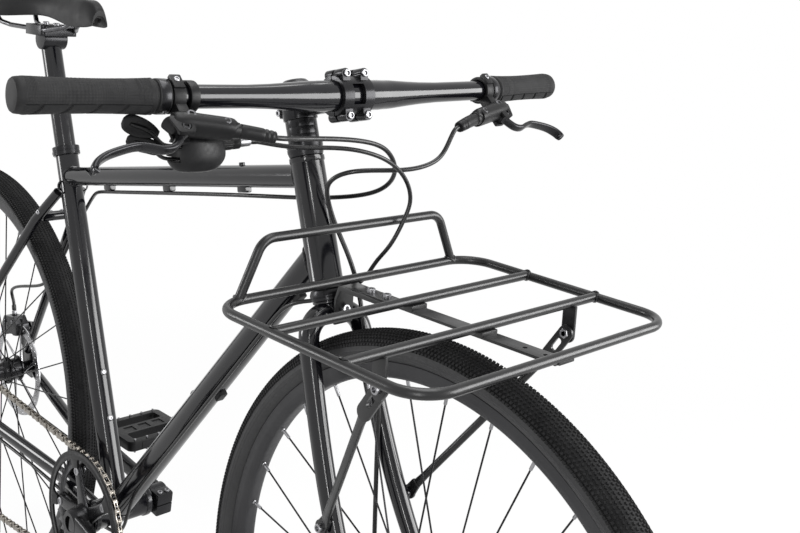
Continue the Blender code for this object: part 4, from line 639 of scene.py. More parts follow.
def top_tube():
    a, b = TOP_SEAT, TOP_HEAD
    way = (b - a).normalized()
    up = -way.cross(Y) if way.cross(Y).z < 0 else way.cross(Y)
    shapes = [tube(short(a, b, 0.004, 0.006), TOP_R, "paint", 40)]
    shapes.append(bead(b - way * 0.08, b, TOP_R, steer(0.3), steer(0.6), HEAD_R))
    shapes.append(bead(a + way * 0.08, a, TOP_R, BB, BB + SEAT * 0.6, SEAT_R))
    for x in (-0.130, 0.018, 0.178):
        spot = a + way * ((x - a.x) / way.x)
        outline = [(-0.0045, 0.0060), (-0.0045, -0.0022), (-0.0030, -0.0034), (0.0030, -0.0034),
                   (0.0045, -0.0022), (0.0045, 0.0060)]
        shapes.append(plate(outline, spot - up * 0.0155, Y, up, 0.0160, "paint", 0.0009))
    spot = a + way * ((0.176 - a.x) / way.x)
    shapes.append(rod(spot + up * 0.0115, spot + up * 0.0163, 0.0034, "paint", 24, 0.0008))
    piece("top_tube_finish", shapes, "top_tube")


def down_tube():
    a, b = BB, DOWN_HEAD
    way = (b - a).normalized()
    under = Vector((way.z, 0, -way.x))
    ends = short(a, b, 0.012, 0.006)
    shapes = [tube(ends, [DOWN_R, DOWN_R_HEAD], "paint", 48)]
    shapes.append(bead(b - way * 0.09, b, DOWN_R_HEAD + 0.0004, steer(0.3), steer(0.6), HEAD_R + 0.0006))
    shapes.append(bead(a + way * 0.10, a, DOWN_R, BB - Y * 0.1, BB + Y * 0.1, 0.0202))
    for x in DOWN_CLIPS:
        spot = a + way * ((x - a.x) / way.x)
        shapes.append(block(spot + under * 0.0165, (0.0148, 0.0098, 0.0078), "plastic", way, Y, 0.0014))
    for x in (0.060, 0.104):
        spot = a + way * ((x - a.x) / way.x)
        shapes += eye_bolt(spot - under * 0.0176, -under, 0.0040, 0.0020)
    piece("down_tube_finish", shapes, "down_tube")


def seat_tube():
    ahead = Vector((SEAT.z, 0, -SEAT.x))
    profile = [(SEAT_R, 0.018), (SEAT_R, SEAT_TOP - 0.0016), (SEAT_R - 0.0004, SEAT_TOP),
               (0.0144, SEAT_TOP), (0.0144, 0.018)]
    shapes = [lathe(profile, BB, SEAT, "paint", 56)]
    shapes.append(bead(BB + SEAT * 0.1, BB, SEAT_R, BB - Y * 0.1, BB + Y * 0.1, 0.0202))
    for t in (0.125, 0.189):
        shapes += eye_bolt(BB + SEAT * t + ahead * 0.0162, ahead, 0.0040, 0.0018)
    piece("seat_tube_finish", shapes, "seat_tube")


def bottom_bracket():
    half = [(0.0200, 0.0334), (0.0204, 0.0340), (0.0216, 0.0343), (0.0218, 0.0349), (0.0218, 0.0405),
            (0.0212, 0.0410), (0.0205, 0.0428), (0.0198, 0.0430)]
    profile = [(r, -h) for r, h in reversed(half)] + half + [(0.0124, 0.0428), (0.0124, -0.0428)]
    shapes = [lathe(profile, BB, Y, "paint", 64)]
    for side in (-1, 1):
        shapes.append(lathe([(0.0219, 0), (0.0219, 0.0044), (0.0210, 0.0044), (0.0210, 0)],
                            BB + Y * (side * 0.0376 - 0.0022), Y, "anodised", 96,
                            shape=lambda turn, r, h: 1 - 0.025 * max(0, cos(16 * turn)) ** 6))
    piece("bottom_bracket_finish", shapes, "bottom_bracket")


def dropout(side):
    """A plate with the axle's hole; the right one carries the derailleur's hanger."""
    low, high = [(0.030, -0.010), (0.014, -0.017)], [(0.014, 0.036), (0.019, 0.016), (0.034, 0.008)]
    if side < 0:
        edge = low + [(0.006, -0.034), (-0.010, -0.036), (-0.013, -0.015), (-0.018, 0.004),
                      (-0.008, 0.034)] + high
    else:
        edge = low + [(-0.013, -0.015), (-0.018, 0.004), (-0.022, 0.030), (-0.041, 0.060),
                      (-0.033, 0.073), (0.008, 0.080), (0.017, 0.071), (0.006, 0.048)] + high
    spot = REAR + Y * (side * DROP_Y)
    made = plate(edge, spot, X, Z, 0.0050, "paint", 0.0008)
    return cut(made, [rod(spot - Y * 0.01, spot + Y * 0.01, 0.0056, "steel", 32, 0)])


def chainstay(word, side):
    path = [(BB.x - 0.012, 0.0235, 0.2878), (-0.150, 0.0280, 0.2985), (-0.200, 0.0318, 0.3065),
            (-0.250, 0.0385, 0.3140), (-0.400, 0.0575, 0.3345), (-0.490, 0.0690, 0.3462)]
    radii = [(0.0120, 0.0078), (0.0115, 0.0072), (0.0110, 0.0070), (0.0105, 0.0075),
             (0.0085, 0.0080), (0.0072, 0.0070)]
    shapes = [tube([mirrored(p, side) for p in path], radii, "paint", 32, fine=6, dome=(0, 0.9))]
    shapes.append(dropout(side))
    piece("chainstay_%s_finish" % word, shapes, "chainstay_" + word)


def seatstay(word, side):
    path = [mirrored(p, side) for p in (STAY_TOP.lerp(STAY_MID, 0.10), STAY_MID, STAY_END)]
    rounded = corners(path, 0.06, 8)
    radii = [0.0070] * (len(rounded) - 1) + [0.0064]
    shapes = [tube(rounded, radii, "paint", 28, dome=(0, 0.9))]
    shapes.append(bead(path[1], path[0], 0.0070, BB, BB + SEAT * 0.6, SEAT_R, width=0.0024, ripples=44))
    spot = path[0].lerp(path[1], 0.75) + Vector((0.0025, side * 0.0055, 0.0025))
    shapes += eye_bolt(spot, Vector((0.0025, side * 0.0075, 0.0025)), 0.0036, 0.0018)
    piece("seatstay_%s_finish" % word, shapes, "seatstay_" + word)


def stay_bridge():
    spot = STAY_MID + (STAY_TOP - STAY_MID) * 0.08
    shapes = [rod((spot.x, -0.0194, spot.z), (spot.x, 0.0194, spot.z), 0.0070, "paint", 32)]
    for y in (-0.008, 0.008):
        shapes += eye_bolt(Vector((spot.x, y, spot.z + 0.0072)), Z, 0.0026, 0.0012)
    piece("stay_bridge_finish", shapes, "stay_bridge")


def seat_collar():
    a, b = BB + SEAT * 0.5000, BB + SEAT * 0.5125
    back = Vector((-SEAT.z, 0, SEAT.x))
    spot = a.lerp(b, 0.5) + back * 0.0200
    made = lathe([(0.0176, 0), (0.0182, 0.0006), (0.0182, 0.0052), (0.0178, 0.0056), (0.0178, 0.0069),
                  (0.0182, 0.0073), (0.0182, 0.0119), (0.0176, 0.0125), (0.0153, 0.0125), (0.0153, 0)],
                 a, SEAT, "anodised", 64)
    lug = block(spot, (0.0090, 0.0150, 0.0110), "anodised", back, Y, 0.0022)
    cut(made, [block(spot + back * 0.003, (0.016, 0.0012, 0.02), "anodised", back, Y, 0)])
    cut(lug, [block(spot + back * 0.003, (0.016, 0.0012, 0.02), "anodised", back, Y, 0)])
    shapes = [made, lug, bolt(spot - Y * 0.0070, -Y, 0.0030, 0.0033),
              rod(spot + Y * 0.0070, spot + Y * 0.0092, 0.0028, "steel", 20)]
    piece("seat_collar_finish", shapes, "seat_collar")


# Seat

POST_TOP = BB + SEAT * 0.6560
RAIL_Z, RAIL_Y = 0.9330, 0.0220
RAIL_AT = Vector((POST_TOP.x - 0.002, 0, RAIL_Z))
CLAMP_Z, CLAMP_TALL = RAIL_Z - 0.0010, 0.0150


def seatpost():
    profile = [(0, 0.400), (0.0130, 0.400), (0.0136, 0.4006), (0.0136, 0.6560), (0, 0.6560)]
    post = lathe(profile, BB, SEAT, "paint", 56)
    seat = Vector((POST_TOP.x, 0, CLAMP_Z - CLAMP_TALL / 2 - GAP))
    cradle = rod(seat - Y * 0.0170 - Z * 0.0050, seat + Y * 0.0170 - Z * 0.0050, 0.0150, "anodised", 48,
                 0.001)
    for obj in (post, cradle):
        cut(obj, [block(seat + Z * 0.0100, (0.060, 0.050, 0.0200), "anodised", edge=0)])
    piece("seatpost_finish", [post, soften(cradle, 0.0006)], "seatpost")


def seat_clamp():
    """Upper and lower cradles round the rails, with two bolts down into the head."""
    w = 0.0210
    edge = arc((w, 0.0205), 0.0060, -20, 80, 5) + arc((-w, 0.0205), 0.0060, 100, 200, 5)
    edge += arc((-w, -0.0205), 0.0060, 160, 260, 5) + arc((w, -0.0205), 0.0060, -80, 20, 5)
    at = Vector((RAIL_AT.x, 0, CLAMP_Z))
    made = plate(edge, at, X, Y, CLAMP_TALL, "anodised", 0.0012)
    grooves = [rod(RAIL_AT + Vector((-0.05, y, 0)), RAIL_AT + Vector((0.05, y, 0)), 0.0036, "anodised", 24, 0)
               for y in (-RAIL_Y, RAIL_Y)]
    cut(made, grooves)
    shapes = [made] + [bolt(at + Vector((x, 0, CLAMP_TALL / 2)), Z, 0.0042, 0.0035) for x in (-0.016, 0.016)]
    piece("seat_clamp_finish", shapes, "seat_clamp")


SADDLE_BACK, SADDLE_NOSE, NOSE_ROUND = -0.4420, -0.1640, 0.115


def saddle_half(x):
    """Half width of the saddle at x."""
    s = min(1.0, max(0.0, (x - SADDLE_NOSE) / (SADDLE_BACK - SADDLE_NOSE)))
    wide = 0.0185 + 0.0560 / (1 + exp(-14 * (s - 0.56)))
    return wide * min(1.0, 0.35 + 6.5 * s) ** 0.5 * min(1.0, 0.25 + 9 * (1 - s)) ** 0.5


def saddle_loft(low, high, shrink, look, steps, segs, crease=0.0):
    """A saddle-shaped layer between two heights, its sides turned down."""
    points = []
    for i in range(steps):
        s = 0.5 - 0.5 * cos(pi * i / (steps - 1))
        front, back = SADDLE_NOSE - shrink, SADDLE_BACK + shrink
        x = front + (back - front) * s
        half = saddle_half(x) - shrink
        round_nose = sqrt(max(0.06, 1 - max(0.0, 1 - s / NOSE_ROUND) ** 2))
        arched = sin(pi * min(1.0, max(0.0, (s - 0.17) / 0.50))) ** 2
        skirt = 0.0160 - 0.0085 * arched
        ends = min(1.0, 0.12 + 7 * s) * min(1.0, 0.12 + 7 * (1 - s))
        for k in range(segs):
            turn = 2 * pi * (k + 0.5) / segs
            u, v = cos(turn), sin(turn)
            y = half * abs(u) ** 0.8 * (1 if u > 0 else -1)
            z = (high if v > 0 else low) * abs(v) ** 0.45 * round_nose - skirt * abs(u) ** 2.2
            if v > 0:
                z -= crease * ends * exp(-(y / 0.009) ** 2)
                z += 0.0012 * ends * abs(v) * exp(-((abs(u) - 0.45) / 0.22) ** 2)
            points.append((x, y, 0.9640 + 0.010 * s * s + z))
    return solid(points, ring_faces(steps, segs, False), look)


def saddle():
    cover = saddle_loft(-0.0100, 0.0194, 0.0, "cover", 90, 72, 0.0030)
    cut(cover, [saddle_loft(-0.0350, 0.0030, 0.0060, "cover", 24, 24)])
    piece("saddle_padding", [cover], "saddle_cover", angle=50)
    shapes = [saddle_loft(-0.0052, 0.0004, 0.0112, "plastic", 40, 40)]
    for side in (-1, 1):
        y = RAIL_Y * side
        path = [(-0.4270, y * 1.40, 0.9600), (-0.4100, y * 1.25, 0.9370), (-0.3850, y, RAIL_Z),
                (-0.2750, y, RAIL_Z), (-0.2460, y * 0.38, 0.9400), (-0.2080, y * 0.20, 0.9588)]
        shapes.append(hose(corners(path, 0.018, 8), 0.0070, "dark_steel", 20))
        shapes.append(tube([(-0.4290, y * 1.42, 0.9630), (-0.4240, y * 1.38, 0.9560)], [0.0075, 0.0055],
                           "plastic", 20, dome=(0, 0.4)))
    piece("saddle_shell", shapes, "saddle_base")


# Fork and steering column

LEG_BEND, LEG_AHEAD, LEG_LOW_Y, LEG_LEAN = 0.2800, 0.0020, 0.0530, 0.0475
BOSS_T, BOSS_OUT = 0.1620, 0.0140


def leg_point(side, t):
    """A point of a fork leg's centre line, t above the axle along the steering axis."""
    bend = max(0.0, 1 - t / LEG_BEND) ** 2.4
    return steer(t, LEG_AHEAD + (RAKE - LEG_AHEAD) * bend, side * (LEG_LOW_Y - LEG_LEAN * t))


def bolt_spots(centre, radial):
    around = radial.cross(Y)
    return [centre + around * end - radial * 0.0060 for end in (-0.0190, 0.0190)]


CALIPER_HALF = 0.0105
FRONT_FLANGES, REAR_FLANGES = (-0.0285, 0.0285), (-0.0215, 0.0335)
FRONT_DISC, REAR_DISC = 0.0395, 0.0520
FRONT_RADIAL = Vector((-0.943, 0, 0.333)).normalized()
REAR_RADIAL = Vector((cos(radians(100)), 0, sin(radians(100))))
FRONT_CALIPER, REAR_CALIPER = FRONT + FRONT_RADIAL * 0.0730, REAR + REAR_RADIAL * 0.0730
FRONT_ENTRY = FRONT_CALIPER + Y * FRONT_DISC + FRONT_RADIAL * 0.0248
REAR_ENTRY = REAR_CALIPER + Y * REAR_DISC + REAR_RADIAL * 0.0248


def fork():
    """Steerer, crown, two legs that sweep forward, dropouts and the caliper's tab."""
    race = [(0, 0.3660), (0.0150, 0.3660), (0.0152, 0.3664), (0.0152, 0.3790), (0.0176, 0.3804),
            (0.0178, 0.3808), (0.0178, 0.3824), (0, 0.3826)]
    shapes = [rod(steer(0.3700), steer(0.6145), 0.0142, "paint", 48), lathe(race, STEER, UP, "paint", 64)]
    tops = ((0.3706, 0.0), (0.3706, 0.0010), (0.3700, 0.0130), (0.3650, 0.0245), (0.3556, 0.0328),
            (0.3440, 0.0362))
    heights = (0.3300, 0.2500, 0.1800, 0.1200, 0.0600, 0.0120)
    radii = [(0.0114, 0.0125)] * 3 + [(0.0112, 0.0122), (0.0106, 0.0118), (0.0102, 0.0114), (0.0100, 0.0112),
                                      (0.0098, 0.0112), (0.0098, 0.0108), (0.0092, 0.0098), (0.0076, 0.0080),
                                      (0.0062, 0.0064)]
    for side in (-1, 1):
        path = [steer(t, LEG_AHEAD, side * y) for t, y in tops] + [leg_point(side, t) for t in heights]
        shapes.append(tube(path, radii, "paint", 40, X, fine=7, dome=(0, 0.6)))
        spot = FRONT + Y * (side * 0.0533)
        edge = [(0.010, -0.014), (-0.011, -0.012), (-0.013, 0.006), (-0.009, 0.024), (0.003, 0.026),
                (0.013, 0.008)]
        drop = plate(edge, spot, X, Z, 0.0060, "paint", 0.0010)
        shapes.append(cut(drop, [rod(spot - Y * 0.01, spot + Y * 0.01, 0.0053, "paint", 32, 0)]))
        boss = leg_point(side, BOSS_T)
        shapes.append(rod(boss + Y * (side * 0.008), boss + Y * (side * BOSS_OUT), 0.0055, "paint", 32,
                          0.0008))
    shapes.append(bead(steer(0.40), steer(0.37), 0.0152, steer(0.3706, 0.002, -0.05),
                       steer(0.3706, 0.002, 0.05),
                       0.0118, width=0.0022, ripples=50))
    up = leg_point(1, 0.34) - leg_point(1, 0.012)
    up.y = 0
    up.normalize()
    back = Vector((-up.z, 0, up.x))
    edge = [(0.090, 0.018), (0.072, 0.042), (0.040, 0.067), (0.029, 0.061), (0.044, 0.034), (0.038, 0.008)]
    at = FRONT + Y * (FRONT_DISC + CALIPER_HALF + GAP + 0.0020)
    holes = [rod(p + Y * (at.y - 0.01), p + Y * (at.y + 0.01), 0.0034, "paint", 24, 0)
             for p in bolt_spots(FRONT_CALIPER, FRONT_RADIAL)]
    shapes.append(cut(plate(edge, at, up, back, 0.0040, "paint", 0.0008), holes))
    piece("fork_finish", shapes, "fork")


def steerer_spacers():
    """A stack of three plain rings."""
    low, high = 0.5538, STEM_LOW - GAP
    step = (high - low) / 3
    shapes = [sleeve(steer(low + step * k + 0.00005), steer(low + step * (k + 1) - 0.00005), 0.0170, 0.0146,
                     "anodised", 64, 0.0005) for k in range(3)]
    piece("steerer_spacers_finish", shapes, "steerer_spacers")


def top_cap():
    low = STEM_TOP + GAP
    profile = [(0, low), (0.0158, low), (0.0160, low + 0.0004), (0.0160, low + 0.0028),
               (0.0150, low + 0.0040),
               (0.0125, low + 0.0064), (0.0118, low + 0.0066), (0.0062, low + 0.0066), (0.0058, low + 0.0050),
               (0, low + 0.0050)]
    shapes = [lathe(profile, STEER, UP, "anodised", 64), bolt(steer(low + 0.0044), UP, 0.0048, 0.0030)]
    piece("top_cap_finish", shapes, "top_cap")


# Stem and handlebar

STEM_BACK = steer((STEM_LOW + STEM_TOP) / 2)
BAR = steer(BAR_T, BAR_N)
REACH = (BAR - STEM_BACK).normalized()
RISE = REACH.cross(Y).normalized() * -1
if RISE.z < 0:
    RISE = -RISE
PLATE_HALF = 0.0200
BAR_R = 0.0159
LUG_UP, LUG_Y = 0.0215, 0.0118


def lugs(low, high):
    """The bolt lugs above and below the bar's clamp."""
    made = []
    for up in (-1, 1):
        for side in (-1, 1):
            spot = BAR + REACH * ((low + high) / 2) + RISE * (up * LUG_UP) + Y * (side * LUG_Y)
            edge = arc((0.0006 * side, 0.0002 * up), 0.0054, 0, 360, 20)[:-1]
            made.append(plate(edge, spot, Y, RISE, high - low, "anodised", 0.0008))
            foot = spot - RISE * (up * 0.0040)
            made.append(block(foot, (high - low - 0.0004, 0.0100, 0.0070), "anodised", REACH, Y, 0.0012))
    return made


def stem():
    """Steerer clamp, arm and the rear half of the bar's clamp."""
    column = lathe([(0, STEM_LOW), (0.0182, STEM_LOW), (0.0185, STEM_LOW + 0.0008),
                    (0.0185, STEM_TOP - 0.0008),
                    (0.0182, STEM_TOP), (0, STEM_TOP)], STEER, UP, "anodised", 64)
    arm = tube([STEM_BACK, STEM_BACK.lerp(BAR, 0.3), STEM_BACK.lerp(BAR, 0.6), BAR - REACH * 0.010],
               [(0.0165, 0.0165), (0.0152, 0.0158), (0.0152, 0.0164), (0.0172, 0.0186)], "anodised", 40,
               fine=5)
    ring = rod(BAR - Y * PLATE_HALF, BAR + Y * PLATE_HALF, 0.0215, "anodised", 64, 0.0012)
    back = STEM_BACK - REACH * 0.0200
    ear = tube([back + UP * h for h in (-0.0150, -0.0120, 0.0120, 0.0150)],
               [(0.0050, 0.0085), (0.0066, 0.0120), (0.0066, 0.0120), (0.0050, 0.0085)], "anodised", 24,
               Y, fine=3)
    front = block(BAR + REACH * 0.0497, (0.1, 0.08, 0.1), "anodised", REACH, Y, 0)
    made = cut(column, [arm, ring] + lugs(-0.0130, -0.0008) + [ear], "UNION")
    cut(made, [rod(steer(0.55), steer(0.65), 0.0145, "anodised", 48, 0),
               rod(BAR - Y * 0.05, BAR + Y * 0.05, BAR_R + GAP, "anodised", 64, 0), front,
               block(STEM_BACK - REACH * 0.022, (0.020, 0.0014, 0.06), "anodised", REACH, Y, 0)])
    shapes = [made]
    for h in (-0.0088, 0.0088):
        shapes.append(bolt(back + UP * h - Y * 0.0115, -Y, 0.0036, 0.0030))
        shapes.append(rod(back + UP * h + Y * 0.0105, back + UP * h + Y * 0.0122, 0.0030, "steel", 24))
    piece("stem_finish", shapes, "stem")


def faceplate():
    """The front half of the bar's clamp, open between its two bands, and its four bolts."""
    made = rod(BAR - Y * PLATE_HALF, BAR + Y * PLATE_HALF, 0.0205, "anodised", 64, 0.0010)
    cut(made, lugs(0.0012, 0.0150), "UNION")
    window = block(BAR + REACH * 0.03, (0.05, 0.0150, 0.0210), "anodised", REACH, Y, 0)
    cut(made, [rod(BAR - Y * 0.05, BAR + Y * 0.05, BAR_R + GAP, "anodised", 64, 0),
               block(BAR - REACH * 0.0490, (0.1, 0.08, 0.1), "anodised", REACH, Y, 0), window])
    shapes = [made]
    for up in (-1, 1):
        for side in (-1, 1):
            spot = BAR + REACH * 0.0140 + RISE * (up * LUG_UP) + Y * (side * LUG_Y)
            shapes.append(bolt(spot + REACH * 0.0006, REACH, 0.0038, 0.0030, key=0.66))
    piece("stem_faceplate_finish", shapes, "stem_faceplate")


def bar_point(y, n=0.0, t=0.0):
    """A point of the handlebar's centre line; it rises a little and its ends sweep back."""
    back = max(0.0, abs(y) - BAR_BEND) / (BAR_HALF - BAR_BEND)
    rise = max(0.0, abs(y) - 0.045) / (BAR_HALF - 0.045)
    return BAR + Vector((n - SWEEP * back, y, 0.0050 * rise + t))


def handlebar():
    """A tapered bar with a thick clamping middle."""
    half = [(0.012, BAR_R - 0.0001), (0.040, BAR_R - 0.0001), (0.0412, BAR_R - 0.0003), (0.055, 0.0153),
            (0.080, 0.0134), (0.100, 0.0121), (0.125, 0.0112), (0.160, 0.0111), (0.195, 0.0111),
            (0.205, 0.0111), (0.3340, 0.0111)]
    rows = [(-y, r) for y, r in reversed(half)] + half
    shapes = [tube([bar_point(y) for y, r in rows], [r for y, r in rows], "paint", 56, Z)]
    piece("handlebar_finish", shapes, "handlebar")


GRIP_LONG, RIB_STEP = 0.1314, 0.0236


def grip(word, side):
    """A rubber sleeve: diamond knurl above, slanted blocks below, closed end and lock ring."""
    a = bar_point(side * 0.2090)
    way = (bar_point(side * 0.33) - a).normalized()

    def relief(turn, r, h):
        if r < 0.014 or not 0.0165 < h < 0.1245:
            return 1.0
        fade = min(1.0, (h - 0.0165) / 0.002, (0.1245 - h) / 0.002)
        above = cos(turn)
        if above > -0.34:
            ridge = sin(40 * turn + 2700 * h) * sin(40 * turn - 2700 * h)
            return 1 + fade * 0.016 * max(-0.5, ridge)
        slant = (h + side * 0.010 * sin(turn)) % RIB_STEP
        groove = slant < 0.0034 or above > -0.42
        return 1 + fade * (-0.060 if groove else 0.030)

    outer = [(0.0158, 0), (0.0158, 0.0004), (0.0158, 0.0106), (0.0154, 0.0110), (0.0146, 0.0114),
             (0.0146, 0.0126), (0.0156, 0.0132)]
    body = [(0.0164, 0.0146), (0.0158, 0.0215), (0.0151, 0.0400), (0.0147, 0.0650), (0.0150, 0.0950),
            (0.0156, 0.1200), (0.0154, 0.1262)]
    body = [tuple(row) for row in finer([list(row) for row in body], 36)]
    end = [(0.0150, 0.1288), (0.0138, 0.1304), (0.0110, 0.1312), (0.0060, GRIP_LONG), (0, GRIP_LONG)]
    profile = [(0, 0.1275), (0.0119, 0.1275), (0.0119, 0)] + outer + body + end
    across = (Z - way * Z.dot(way)).normalized()
    shapes = [lathe(profile, a, way, "grip", 200, one=across, shape=relief)]
    ring = [(0.0159, 0.0010), (0.0161, 0.0014), (0.0161, 0.0092), (0.0159, 0.0096), (0.0150, 0.0096),
            (0.0150, 0.0010)]
    shapes.append(lathe(ring, a, way, "anodised", 64))
    down = (-Z * 0.8 + X * 0.6).normalized()
    shapes.append(bolt(a + way * 0.0052 + down * 0.0150, down, 0.0026, 0.0016))
    piece("grip_%s_finish" % word, shapes, "grip_" + word, angle=30)


# Controls

DIP = radians(44)
LEVER_OUT = Vector((cos(DIP), 0, -sin(DIP)))
PIN_Y, PIN_W = 0.2090, 0.0410


def lever_frame(side):
    """Along the bar, away from it and along the lever's pin."""
    along = (bar_point(side * 0.3) - bar_point(side * 0.2)).normalized()
    pin = along.cross(LEVER_OUT).normalized() * side
    return bar_point(side * 0.2), along, LEVER_OUT, -pin if pin.z < 0 else pin


def lever_point(side, y, w, h=0.0):
    at, along, out, pin = lever_frame(side)
    return at + along * (y - 0.2) + out * w + pin * h


def brake_body(word, side):
    """Master cylinder, hinged clamp round the bar, pin ears, cap and the hose's boot."""
    _, along, out, pin = lever_frame(side)
    spots = [(0.2170, 0.0312), (0.2150, 0.0315), (0.2060, 0.0328), (0.1900, 0.0352), (0.1640, 0.0395),
             (0.1622, 0.0398)]
    sizes = [(0.0072, 0.0092), (0.0085, 0.0108), (0.0094, 0.0122), (0.0092, 0.0120), (0.0090, 0.0112),
             (0.0074, 0.0080)]
    path = [lever_point(side, y, w, 0.0020) for y, w in spots]
    shapes = [tube(path, sizes, "plastic", 36, pin, fine=4, dome=(0.8, 0), square=0.8)]
    boot = [(0.1580, 0.0405, 0.0068), (0.1560, 0.0411, 0.0068), (0.1550, 0.0413, 0.0066),
            (0.1540, 0.0416, 0.0069),
            (0.1420, 0.0443, 0.0067), (0.1340, 0.0464, 0.0066), (0.1325, 0.0468, 0.0058),
            (0.1310, 0.0472, 0.0064),
            (0.1295, 0.0476, 0.0064), (0.1280, 0.0480, 0.0056), (0.1265, 0.0484, 0.0062),
            (0.1250, 0.0487, 0.0062),
            (0.1235, 0.0491, 0.0054), (0.1225, 0.0493, 0.0059), (0.1215, 0.0496, 0.0050)]
    shapes.append(tube([lever_point(side, y, w, 0.0020) for y, w, r in boot], [r for y, w, r in boot],
                       "plastic", 32, pin, fine=2))
    shapes.append(tube([lever_point(side, 0.1660, 0.0391, 0.0020), lever_point(side, 0.1560, 0.0409, 0.0020)],
                       [0.0086, 0.0074], "plastic", 32, pin))
    band = sleeve(bar_point(side * 0.1962), bar_point(side * 0.2078), 0.0158, 0.0118, "plastic", 64, 0.0014)
    shapes.append(band)
    hinge = -out * 0.0165
    for h in (-0.0062, 0.0062):
        spot = bar_point(side * 0.2020) + hinge * 0.2 + pin * (h * 2.35)
        shapes.append(block(spot - out * 0.001, (0.0150, 0.0108, 0.0052), "plastic", out, along, 0.0016))
        shapes.append(bolt(spot + pin * (0.0022 if h > 0 else -0.0022) - out * 0.0030, pin if h > 0 else -pin,
                           0.0028, 0.0014))
    shapes.append(block(lever_point(side, 0.2020, 0.0220), (0.0240, 0.0108, 0.0148), "plastic", out,
                        along, 0.0024))
    ear = block(lever_point(side, PIN_Y, PIN_W - 0.002), (0.0170, 0.0150, 0.0190), "plastic", out,
                along, 0.0026)
    slot = lever_point(side, PIN_Y + 0.006, PIN_W + 0.004)
    shapes.append(cut(ear, [block(slot, (0.0230, 0.0300, 0.0100), "plastic", out, along, 0)]))
    for y, w, h, r in ((0.2010, 0.0300, 0.0105, 0.0045), (0.1690, 0.0375, 0.0100, 0.0038)):
        shapes.append(bolt(lever_point(side, y, w, h), pin, r, 0.0036, "dark_steel", 0.5))
        shapes.append(rod(lever_point(side, y, w, h - 0.004), lever_point(side, y, w, h + 0.0008), r + 0.0010,
                          "plastic", 32, 0.0006))
    frame_edge = [Vector((u, v, 0)) for u, v in ((-0.0140, -0.0085), (0.0110, -0.0085), (0.0060, 0.0095),
                                                 (-0.0090, 0.0095))]
    outline = [(p.x * side, p.y) for p in corners(frame_edge, 0.0030, 5, True)]
    cover = plate(outline, lever_point(side, PIN_Y, PIN_W - 0.002, 0.0104), along, out, 0.0024,
                  "plastic", 0.0008)
    hole = lever_point(side, PIN_Y, PIN_W)
    shapes.append(cut(cover, [rod(hole + pin * 0.0075, hole + pin * 0.02, 0.0048, "plastic", 40, 0)]))
    piece("brake_body_%s_finish" % word, shapes, "brake_body_" + word)


def brake_lever(word, side):
    """A two-finger blade with an S-curve, a turned-out end and its pivot pin."""
    pin = lever_frame(side)[3]
    spots = [(0.2060, 0.0415), (0.2120, 0.0455), (0.2220, 0.0560), (0.2330, 0.0590), (0.2450, 0.0562),
             (0.2560, 0.0550), (0.2720, 0.0590), (0.2850, 0.0640), (0.2950, 0.0710), (0.3010, 0.0800)]
    sizes = [(0.0040, 0.0042), (0.0040, 0.0045), (0.0034, 0.0047), (0.0028, 0.0050), (0.0026, 0.0052),
             (0.0026, 0.0054), (0.0027, 0.0056), (0.0028, 0.0058), (0.0030, 0.0060), (0.0030, 0.0058)]
    path = [lever_point(side, y, w) for y, w in spots]
    shapes = [tube(path, sizes, "anodised", 32, pin, fine=6, dome=(0.9, 1.0), square=0.75)]
    low, top = lever_point(side, PIN_Y, PIN_W, -0.0094), lever_point(side, PIN_Y, PIN_W, 0.0094)
    shapes += [rod(low, top, 0.0023, "steel", 24, 0.0004),
               rod(lever_point(side, PIN_Y, PIN_W, -0.0047), lever_point(side, PIN_Y, PIN_W, 0.0047), 0.0050,
                   "anodised", 32, 0.0008),
               lathe([(0, 0), (0.0044, 0), (0.0044, 0.0016), (0.0038, 0.0022), (0.0022, 0.0022),
                      (0.0020, 0.0008),
                      (0, 0.0008)], lever_point(side, PIN_Y, PIN_W, 0.0092), pin, "anodised", 32)]
    piece("lever_%s_finish" % word, shapes, "lever_" + word)


POD = Vector((0.3600, -0.1800, 0.8710))
SHIFT_SLOTS = (0.0041, -0.0079)
SHIFT_PIN = POD + Vector((0.004, -0.0126, 0.0))


def shifter():
    """Clamp band, the round housing under the bar and its ribbed barrel adjuster."""
    band = sleeve(bar_point(-0.1915), bar_point(-0.1825), 0.0148, 0.0118, "plastic", 64, 0.0010)
    neck = block(bar_point(-0.1870) + Vector((0.003, 0, -0.0250)), (0.0130, 0.0078, 0.0250), "plastic",
                 edge=0.0016)
    heights = (-0.0210, -0.0180, -0.0080, 0.0060, 0.0120, 0.0140)
    sizes = [(0.0080, 0.0150), (0.0125, 0.0225), (0.0160, 0.0290), (0.0150, 0.0270), (0.0120, 0.0230),
             (0.0080, 0.0180)]
    body = tube([POD + Z * h for h in heights], sizes, "plastic", 56, Y, fine=5)
    cut(body, [block(POD + Vector((-0.0125, -0.024, h)), (0.0450, 0.0340, 0.0048), "plastic", edge=0)
               for h in SHIFT_SLOTS])
    shapes = [body, band, neck]
    a, b = POD + Vector((0, 0.018, 0.002)), POD + Vector((0, 0.044, 0.003))
    profile = [(0, 0), (0.0060, 0), (0.0062, 0.0006), (0.0062, 0.0170), (0.0056, 0.0176), (0.0056, 0.0190),
               (0.0060, 0.0196), (0.0060, 0.0258), (0.0054, 0.0262), (0, 0.0262)]
    shapes.append(lathe(profile, a, b - a, "plastic", 96,
                        shape=lambda turn, r, h: 1 - 0.05 * max(0, cos(12 * turn)) ** 2 if h < 0.018 else 1))
    shapes.append(rod(b - Y * 0.001, POD + Vector((0, 0.056, 0.0035)), 0.0048, "steel", 32, 0.0006, 0.0045))
    shapes.append(bolt(bar_point(-0.1870) + Vector((0.0090, 0, -0.0250)), X, 0.0028, 0.0020))
    piece("shifter_body_finish", shapes, "shifter_body")


